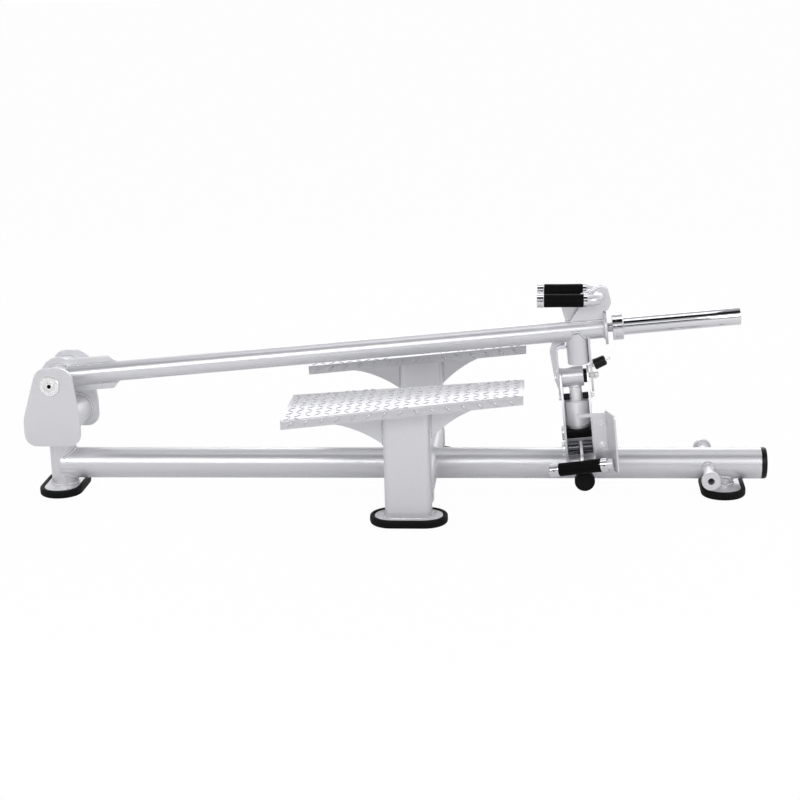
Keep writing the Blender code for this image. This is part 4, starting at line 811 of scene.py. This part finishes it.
spread = math.asin(inner / 0.240)
outline = arc(SWING, 0.0295, 0.10 * math.pi, 0.90 * math.pi, 24)
outline += [(-outer, shoulder), (-outer, foot_end), (-inner, foot_end)]
outline += arc(SWING, NOTCH, -math.pi / 2 - spread, -math.pi / 2 + spread, 24)
outline += [(inner, foot_end), (outer, foot_end), (outer, shoulder)]
for name, low in (("left", FORK_LEFT), ("right", FORK_RIGHT)):
    bm = slab(bmesh.new(), "X", outline, low, low + FORK_THICK)
    if name == "right":
        yoke = box_outline(BAY_LEFT, FORK_RIGHT + 0.0005, YOKE_TOP - 0.009, YOKE_TOP)
        slab(bm, "Y", yoke, -PAD_HALF, PAD_HALF)
    piece("fork_plate_" + name, soften(bm, 0.0009), coat, "carriage", matrix=LEVER)

# Carriage hub: a tube that turns on the swing bolt, with a polished shaft welded under it. The
# shaft ends in a polished round housing with a bright ring below.
polish = material("polished steel", (0.97, 0.97, 0.98), 0.45, 0.2)
MIDDLE = (1.47475, 0)
HUB_END = 1.5000
SHAFT_RADIUS = 0.0178
bm = rod(bmesh.new(), "X", SWING, BAY_LEFT, HUB_END, 0.0285)
piece("carriage_hub", bm, coat, "carriage", matrix=LEVER)
bm = rod(bmesh.new(), "X", SWING, HUB_END + GAP, BAY_RIGHT, 0.0200)
piece("hub_spacer", bm, plastic, "carriage", ["carriage_hub"], LEVER)
bm = rod(bmesh.new(), "Z", MIDDLE, -0.2002, -0.150, SHAFT_RADIUS)
piece("carriage_shaft", bm, polish, "carriage", ["carriage_hub"], matrix=LEVER)
bm = turned(bmesh.new(), "Z", MIDDLE, [
    (-0.2005, 0), (-0.2005, 0.0322), (-0.2020, 0.0344), (-0.2705, 0.0344), (-0.272, 0.0328),
    (-0.272, 0.0300), (-0.2795, 0.0300), (-0.280, 0.0294), (-0.280, 0),
])
piece("carriage_housing", bm, polish, "carriage", matrix=LEVER)

# Stop pad: a block of black rubber between the fork plates. It lies on the yoke, right under the
# housing, and its edges are moulded round.
outline = box_outline(BAY_LEFT, BAY_RIGHT, YOKE_TOP + GAP, YOKE_TOP + 0.0203)
bm = soften(slab(bmesh.new(), "Y", outline, -PAD_HALF, PAD_HALF), 0.002, 3)
piece("stop_pad", bm, rubber, "carriage", matrix=LEVER)

# Cross bolt: a hex bolt through the fork plates and the shaft, with a black spacer on each side
# of the shaft. The arm axles below it are shoulder bolts with nuts.
CROSS = (0, -0.1905)
AXLE_SIDE = 0.080
AXLE_HEIGHT = -0.319
HEAD_FACE = FORK_LEFT - GAP
NUT_FACE = FORK_RIGHT + FORK_THICK + GAP


def washer_and_nut(bm, centre, end, flats, washer, bore):
    # The washer on the right fork plate, and the nut that stands on it.
    ring(bm, "X", centre, NUT_FACE, NUT_FACE + 0.0015, washer, bore, 0.0004)
    hex_head(bm, centre, NUT_FACE + 0.0017, end, flats)


bm = rod(bmesh.new(), "X", CROSS, 1.4270, 1.5262, 0.0048)
hex_head(bm, CROSS, HEAD_FACE, 1.4263, 0.0080)
washer_and_nut(bm, CROSS, 1.5212, 0.0072, 0.0090, 0.004)
piece("cross_bolt", bm, zinc, "carriage", matrix=LEVER)
bm = bmesh.new()
for low, high in ((1.4400, 1.4566), (1.4928, 1.5095)):
    ring(bm, "X", CROSS, low, high, 0.0095, 0.0053)
piece("cross_bolt_spacers", bm, plastic, "carriage", [], LEVER)
for name, side in SIDES:
    axle = (side * AXLE_SIDE, AXLE_HEIGHT)
    bm = rod(bmesh.new(), "X", axle, 1.4260, 1.5226, 0.0070)
    turned(bm, "X", axle, outward(HEAD_FACE, -1, [
        (0, 0), (0, 0.0208), (0.0012, 0.0220), (0.0082, 0.0220), (0.0094, 0.0208),
        (0.0094, 0.0095), (0.0082, 0.0085), (0.0082, 0),
    ]))
    washer_and_nut(bm, axle, 1.5225, 0.0092, 0.0108, 0.006)
    piece("arm_axle_" + name, bm, zinc, "carriage", matrix=LEVER)

# Arms: each turns on its axle by two dark rollers with a silver lug between them. A dark tie
# runs out from the lug to an upright plate, whose bent flange holds the lower grip on a slant.
# The near arm stands over its rest, the far one hangs down beside the base tube.
dark = material("dark roller", (0.12, 0.12, 0.135), 1.0, 0.22)
scaled = material("rough casting", (0.1, 0.1, 0.1), 0.6, 0.45)
grain(scaled, 350, 0.0006, tone=((0.01, 0.01, 0.01), (0.35, 0.35, 0.36)))
LUG_LEFT, LUG_RIGHT = 1.4735, 1.4815
ARM_BOTTOM = -0.350
TIE_TOP = -0.338
ARM_PLATE_OUTSIDE = 0.154
ARM_PLATE_END = 1.5435
FLANGE_TURN = 0.3285
far_axle = Vector((0, AXLE_SIDE, AXLE_HEIGHT))
HANGING = (LEVER @ Matrix.Translation(far_axle) @ Matrix.Rotation(-math.radians(57), 4, "X")
           @ Matrix.Translation(-far_axle))
for name, side, place in (("near", -1, LEVER), ("far", 1, HANGING)):
    body = name + "_arm"
    link = [name + "_arm_link"]
    axle = (side * AXLE_SIDE, AXLE_HEIGHT)
    bm = bmesh.new()
    for low, high in ((BAY_LEFT, LUG_LEFT - GAP), (LUG_RIGHT + GAP, BAY_RIGHT)):
        ring(bm, "X", axle, low, high, 0.0190, 0.0074, 0.0014)
    piece(name + "_arm_rollers", bm, dark, body, link, place)
    outline = arc(axle, 0.0185, math.pi / 2, math.pi / 2 + side * math.pi, 20)
    outline += [(side * 0.1455, -0.349), (side * 0.1455, -0.339), (side * 0.1335, -0.320)]
    bm = soften(slab(bmesh.new(), "X", outline, LUG_LEFT, LUG_RIGHT), 0.0008)
    piece(name + "_arm_lug", bm, coat, body, link, matrix=place)
    outline = box_outline(LUG_LEFT, ARM_PLATE_END, ARM_BOTTOM, TIE_TOP)
    bm = soften(slab(bmesh.new(), "Y", outline, side * 0.1355, side * 0.1457), 0.001)
    piece(name + "_arm_tie", bm, scaled, body, link, place)

    plate = [name + "_arm_plate"]
    outline = rounded([
        (1.5145, ARM_BOTTOM, 0), (ARM_PLATE_END, ARM_BOTTOM, 0), (1.5555, TIE_TOP, 0),
        (1.5555, -0.2045, 0.010), (LUG_LEFT, -0.2015, 0.003), (LUG_LEFT, -0.2125, 0.003),
        (1.5145, -0.2125, 0.004),
    ], 8)
    bm = slab(bmesh.new(), "Y", outline, side * 0.146, side * ARM_PLATE_OUTSIDE)
    flange = slab(bmesh.new(), "X", rounded([
        (0, -0.3615, 0), (side * 0.0695, -0.3615, 0.010), (side * 0.0695, -0.1965, 0.012),
        (0, -0.1965, 0.002),
    ]), 0, 0.0055)
    turn = Matrix.Rotation(-side * FLANGE_TURN, 4, "Z")
    bmesh.ops.transform(flange, verts=flange.verts,
                        matrix=Matrix.Translation((1.5496, side * 0.1500, 0)) @ turn)
    leaf = bpy.data.meshes.new("flange")
    flange.to_mesh(leaf)
    flange.free()
    bm.from_mesh(leaf)
    piece(name + "_arm_plate", soften(bm, 0.0012, 3), coat, body, matrix=place)

    # Grip on its bar, with a plated collar at each end and two hex bolts through the plate
    slant = (place @ Matrix.Translation((1.3886, side * 0.1432, -0.3603))
             @ Matrix.Rotation(side * math.radians(17.3), 4, "Z")
             @ Matrix.Rotation(-math.radians(7.1), 4, "Y"))
    bm = rod(bmesh.new(), "X", (0, 0), 0.145, 0.1845, GRIP_BAR_RADIUS)
    piece(name + "_grip_bar", bm, coat, body, plate, matrix=slant)
    piece(name + "_inner_collar", collar((0, 0), 0.1496, 0.1686), chrome, body, plate,
          slant)
    piece(name + "_end_collar", collar((0, 0), 0, 0.0270, closed=True), chrome, body,
          matrix=slant)
    set_screws(name + "_set_screws", body, [(0.0150, 0), (0.1620, 0)], slant)
    piece(name + "_lower_grip", grip_sleeve((0, 0), 0.0273, 0.1493), grip_rubber, body,
          matrix=slant)
    bm = bmesh.new()
    for centre in ((1.540, -0.232), (1.538, -0.293)):
        turned(bm, "Y", centre, outward(side * ARM_PLATE_OUTSIDE, side, [
            (0, 0), (0, 0.0098), (0.0014, 0.0098), (0.0014, 0.0068, 6), (0.0062, 0.0068, 6),
            (0.0074, 0.0058), (0.0074, 0),
        ]), 48)
    piece(name + "_arm_bolts", bm, zinc, body, [], place)

# Weld beads: rippled fillets of weld metal, coated with the frame, where one tube or plate
# stands on another. Each is a run of overlapping drops along its seam.
weld_coat = material("weld coat", (0.66, 0.66, 0.68), 0.85, 0.2)


def bead_tree():
    # Drops of weld metal along a curve, squashed along it so that they overlap.
    tree, start = node_tree("weld bead", {"Size": 0.003, "Spacing": 0.0022})
    points = node(tree, "GeometryNodeCurveToPoints", mode="LENGTH")
    drop = node(tree, "GeometryNodeMeshUVSphere", {"Segments": 10, "Rings": 7})
    copies = node(tree, "GeometryNodeInstanceOnPoints", {"Scale": (1, 1, 0.8)})
    wire(tree, (start, "Geometry", points, "Curve"), (start, "Spacing", points, "Length"),
         (start, "Size", drop, "Radius"), (points, "Points", copies, "Points"),
         (points, "Rotation", copies, "Rotation"), (drop, "Mesh", copies, "Instance"))
    return tree_end(tree, start, copies)


beads = bead_tree()


def weld(name, body, seams, size, matrix=WORLD):
    # Lays a bead along each seam, a list of points.
    curve = bpy.data.curves.new(name, "CURVE")
    curve.dimensions = "3D"
    for seam in seams:
        spline = curve.splines.new("POLY")
        spline.points.add(len(seam) - 1)
        for point, place in zip(spline.points, seam):
            point.co = (*(matrix @ Vector(place)), 1)
    grow(name, body, added(name + " seams", curve), beads,
         {"Size": size, "Spacing": size * 0.8, "Finish": weld_coat})


def loop(axis, centre, along, radius):
    # The seam round a bar that stands on a flat face.
    return [spot(axis, along, *point) for point in arc(centre, radius, 0, 2 * math.pi, 48)]


def straight(start, end, count):
    return [Vector(start).lerp(Vector(end), step / count) for step in range(count + 1)]


def saddle(axis, centre, radius, other, other_radius, side):
    # The seam of a round tube of one radius along axis Z or Y on a wider tube along X.
    points = []
    for x, across in arc(centre, radius, 0, 2 * math.pi, STEPS):
        flat = across - other[0 if axis == "Z" else 1]
        reach = math.sqrt(max(other_radius ** 2 - flat ** 2, 0)) * side
        if axis == "Z":
            points.append(Vector((x, across, other[1] + reach)))
        else:
            points.append(Vector((x, other[0] + reach, across)))
    return points


seams = [
    loop("Z", (REAR_X, 0), FOOT_TOP, REAR_POST_RADIUS + 0.0005),
    loop("Z", (STUB_X, 0), FOOT_TOP, STUB_RADIUS + 0.0005),
    loop("Y", CROSS_AXIS, -0.1020, 0.0450),
    loop("Y", CROSS_AXIS, 0.1020, 0.0450),
    loop("Y", PEG_AXIS, -0.1495, 0.0155),
    loop("Y", PEG_AXIS, 0.1495, 0.0155),
    saddle("Z", (STUB_X, 0), STUB_RADIUS + 0.0005, BASE_AXIS, BASE_RADIUS, -1),
    saddle("Y", PEG_AXIS, 0.0155, BASE_AXIS, BASE_RADIUS, -1),
    saddle("Y", PEG_AXIS, 0.0155, BASE_AXIS, BASE_RADIUS, 1),
    saddle("Y", REST_AXIS, 0.0268, BASE_AXIS, BASE_RADIUS, -1),
]
notch = []
for y, z in arc(BASE_AXIS, BASE_RADIUS, 0, 2 * math.pi, STEPS):
    reach = math.sqrt(max((REAR_POST_RADIUS + 0.0004) ** 2 - y * y, 0))
    notch.append(Vector((REAR_X + reach, y, z)))
for side in (1, -1):
    seams.append([point for point in notch if abs(point.y) < REAR_POST_RADIUS
                  and side * (point.z - BASE_HEIGHT) > 0])
for side in (-1, 1):
    y = side * POST_Y
    outline = soft_box(POST_X, y, POST_WIDTH + 0.0008, POST_DEPTH + 0.0008, 0.0184)
    seams.append([Vector((*point, FOOT_TOP)) for point in outline + outline[:1]])
    outline = soft_box(POST_X, BASE_HEIGHT, POST_WIDTH + 0.0004, 0.0764, 0.0182)
    seams.append([Vector((x, y - side * 0.0345, z)) for x, z in outline + outline[:1]])
    for x, low in ((POST_X - 0.0637, 0.222), (POST_X + 0.0637, 0.243)):
        for edge in (-0.0045, 0.0045):
            seams.append(straight((x, y + edge, low), (x, y + edge, tread_top(x) - 0.006), 8))
weld("frame_welds", "frame", seams, 0.0046)

seams = [
    saddle("Z", NECK, 0.0308, (0, 0), LEVER_RADIUS, -1),
    loop("X", (0, 0), LEVER_END + 0.0001, 0.0293),
    straight((1.4720, -0.0145, 0.0250), (1.5685, -0.0145, 0.0250), 1),
]
for y in (-0.0055, 0.0055):
    for z in (-0.0283, 0.0283):
        seams.append(straight((0.040, y, z), (0.170, y, z), 10))
for z in (-0.034, 0.034):
    seams.append(straight((0.0125, -0.0050, z), (0.0125, 0.0050, z), 1))
for y in (-0.0055, 0.0055):
    hub_ring = arc((0, 0), 0.0366, 0.9, 2 * math.pi - 0.9, 40)
    seams.append([Vector((x, y, z)) for x, z in hub_ring])
weld("lever_welds", "lever", seams, 0.0036, LEVER)
weld("carriage_welds", "carriage", [loop("Z", MIDDLE, -0.1600, SHAFT_RADIUS + 0.0005)], 0.0016,
     LEVER)

# Studio: a plain white ground and soft light from above and in front, as for a catalogue. The
# camera sees white behind the machine, while the metal mirrors bands of grey and white.
ground = material("ground", (0.80, 0.80, 0.80), 0, 0.9)
tree = ground.node_tree
rays = node(tree, "ShaderNodeLightPath")
share = node(tree, "ShaderNodeMath", {1: 0.975}, operation="MULTIPLY")
white = node(tree, "ShaderNodeEmission", {"Color": (1, 1, 1, 1)})
mix = node(tree, "ShaderNodeMixShader")
wire(tree, (rays, "Is Camera Ray", share, 0), (share, "Value", mix, "Fac"),
     (tree.nodes["Principled BSDF"], "BSDF", mix, 1), (white, "Emission", mix, 2),
     (mix, "Shader", tree.nodes["Material Output"], "Surface"))
bm = bmesh.new()
bmesh.ops.create_grid(bm, x_segments=1, y_segments=1, size=30)
bmesh.ops.translate(bm, verts=bm.verts, vec=(0, 0, -0.0006))
mesh = bpy.data.meshes.new("floor")
bm.to_mesh(mesh)
bm.free()
mesh.materials.append(ground)
floor = added("floor", mesh)

world = bpy.data.worlds.new("studio")
bpy.context.scene.world = world
world.use_nodes = True
tree = world.node_tree
tree.nodes.clear()
rays = node(tree, "ShaderNodeLightPath")
coords = node(tree, "ShaderNodeTexCoord")
split = node(tree, "ShaderNodeSeparateXYZ")
height = node(tree, "ShaderNodeMapRange", {"From Min": -1})
depth = node(tree, "ShaderNodeMapRange", {"From Min": -0.2, "From Max": 0.2})
wire(tree, (coords, "Generated", split, "Vector"), (split, "Z", height, "Value"),
     (split, "Y", depth, "Value"))


def walls(bands):
    # The brightness of the studio from the ground up, as (sine of the elevation, grey) steps.
    ramp = node(tree, "ShaderNodeValToRGB")
    steps = ramp.color_ramp.elements
    for index, (sine, grey) in enumerate(bands):
        step = steps[index] if index < 2 else steps.new(1)
        step.position = (sine + 1) / 2
        step.color = (grey, grey, grey * 1.02, 1)
    wire(tree, (height, "Result", ramp, "Fac"))
    return ramp


front = walls([(-1, 0.70), (1, 0.30), (-0.06, 0.70), (-0.02, 0.5), (0.14, 0.45), (0.17, 0.02),
               (0.31, 0.02), (0.34, 0.85), (0.38, 1.0), (0.50, 1.0), (0.60, 0.4), (0.74, 0.3),
               (0.77, 0.01), (0.955, 0.01), (0.97, 0.30)])
back = walls([(-1, 0.70), (1, 0.40), (0, 0.85), (0.2, 1.0), (0.5, 1.0), (0.72, 0.40)])
both = node(tree, "ShaderNodeMix", data_type="RGBA")
lit = node(tree, "ShaderNodeBackground", {"Strength": 1.0})
shown = node(tree, "ShaderNodeBackground", {"Color": (1, 1, 1, 1)})
mix = node(tree, "ShaderNodeMixShader")
out = node(tree, "ShaderNodeOutputWorld")
wire(tree, (depth, "Result", both, 0), (front, "Color", both, 6), (back, "Color", both, 7),
     (both, 2, lit, "Color"), (rays, "Is Camera Ray", mix, "Fac"), (lit, "Background", mix, 1),
     (shown, "Background", mix, 2), (mix, "Shader", out, "Surface"))


def lamp(name, place, target, width, height, power):
    light = bpy.data.lights.new(name, "AREA")
    light.shape = "RECTANGLE"
    light.size = width
    light.size_y = height
    light.energy = power
    made = added(name, light)
    made.location = place
    made.rotation_euler = (Vector(target) - Vector(place)).to_track_quat("-Z", "Y").to_euler()


lamp("key", (-1.2, -3.6, 2.2), (0, 0, 0.3), 3.0, 1.2, 46)
lamp("fill", (2.6, -2.6, 1.8), (0.2, 0, 0.2), 2.0, 1.5, 32)
lamp("side", (-3.2, -1.8, 1.0), (0.3, 0, 0.2), 1.6, 1.2, 10)
lamp("back", (0.4, 3.2, 2.0), (0, 0, 0.2), 3.5, 1.0, 24)
lamp("top", (0, 0, 3.4), (0, 0, 0), 3.0, 1.2, 14)

# Camera: far back with a long lens, turned a little to the left and tilted with the photograph.
# It stands in front of the near side, well above the machine.
PLACE = (0.4524, -4.9031, 1.6226)
AIM = Vector((-0.0855, 0.9602, -0.2659)).normalized()
TILT = math.radians(-1.469)
camera = bpy.data.cameras.new("camera")
camera.sensor_width = 36
camera.lens = 80.45
level = AIM.cross(Vector((0, 0, 1))).normalized()
upright = level.cross(AIM)
across = math.cos(TILT) * level + math.sin(TILT) * upright
up = -math.sin(TILT) * level + math.cos(TILT) * upright
view = added("camera", camera)
view.matrix_world = (Matrix.Translation(PLACE)
                     @ Matrix((across, up, -AIM)).transposed().to_4x4())
bpy.context.scene.camera = view
bpy.context.scene.view_settings.view_transform = "Standard"

bpy.context.view_layer.update()
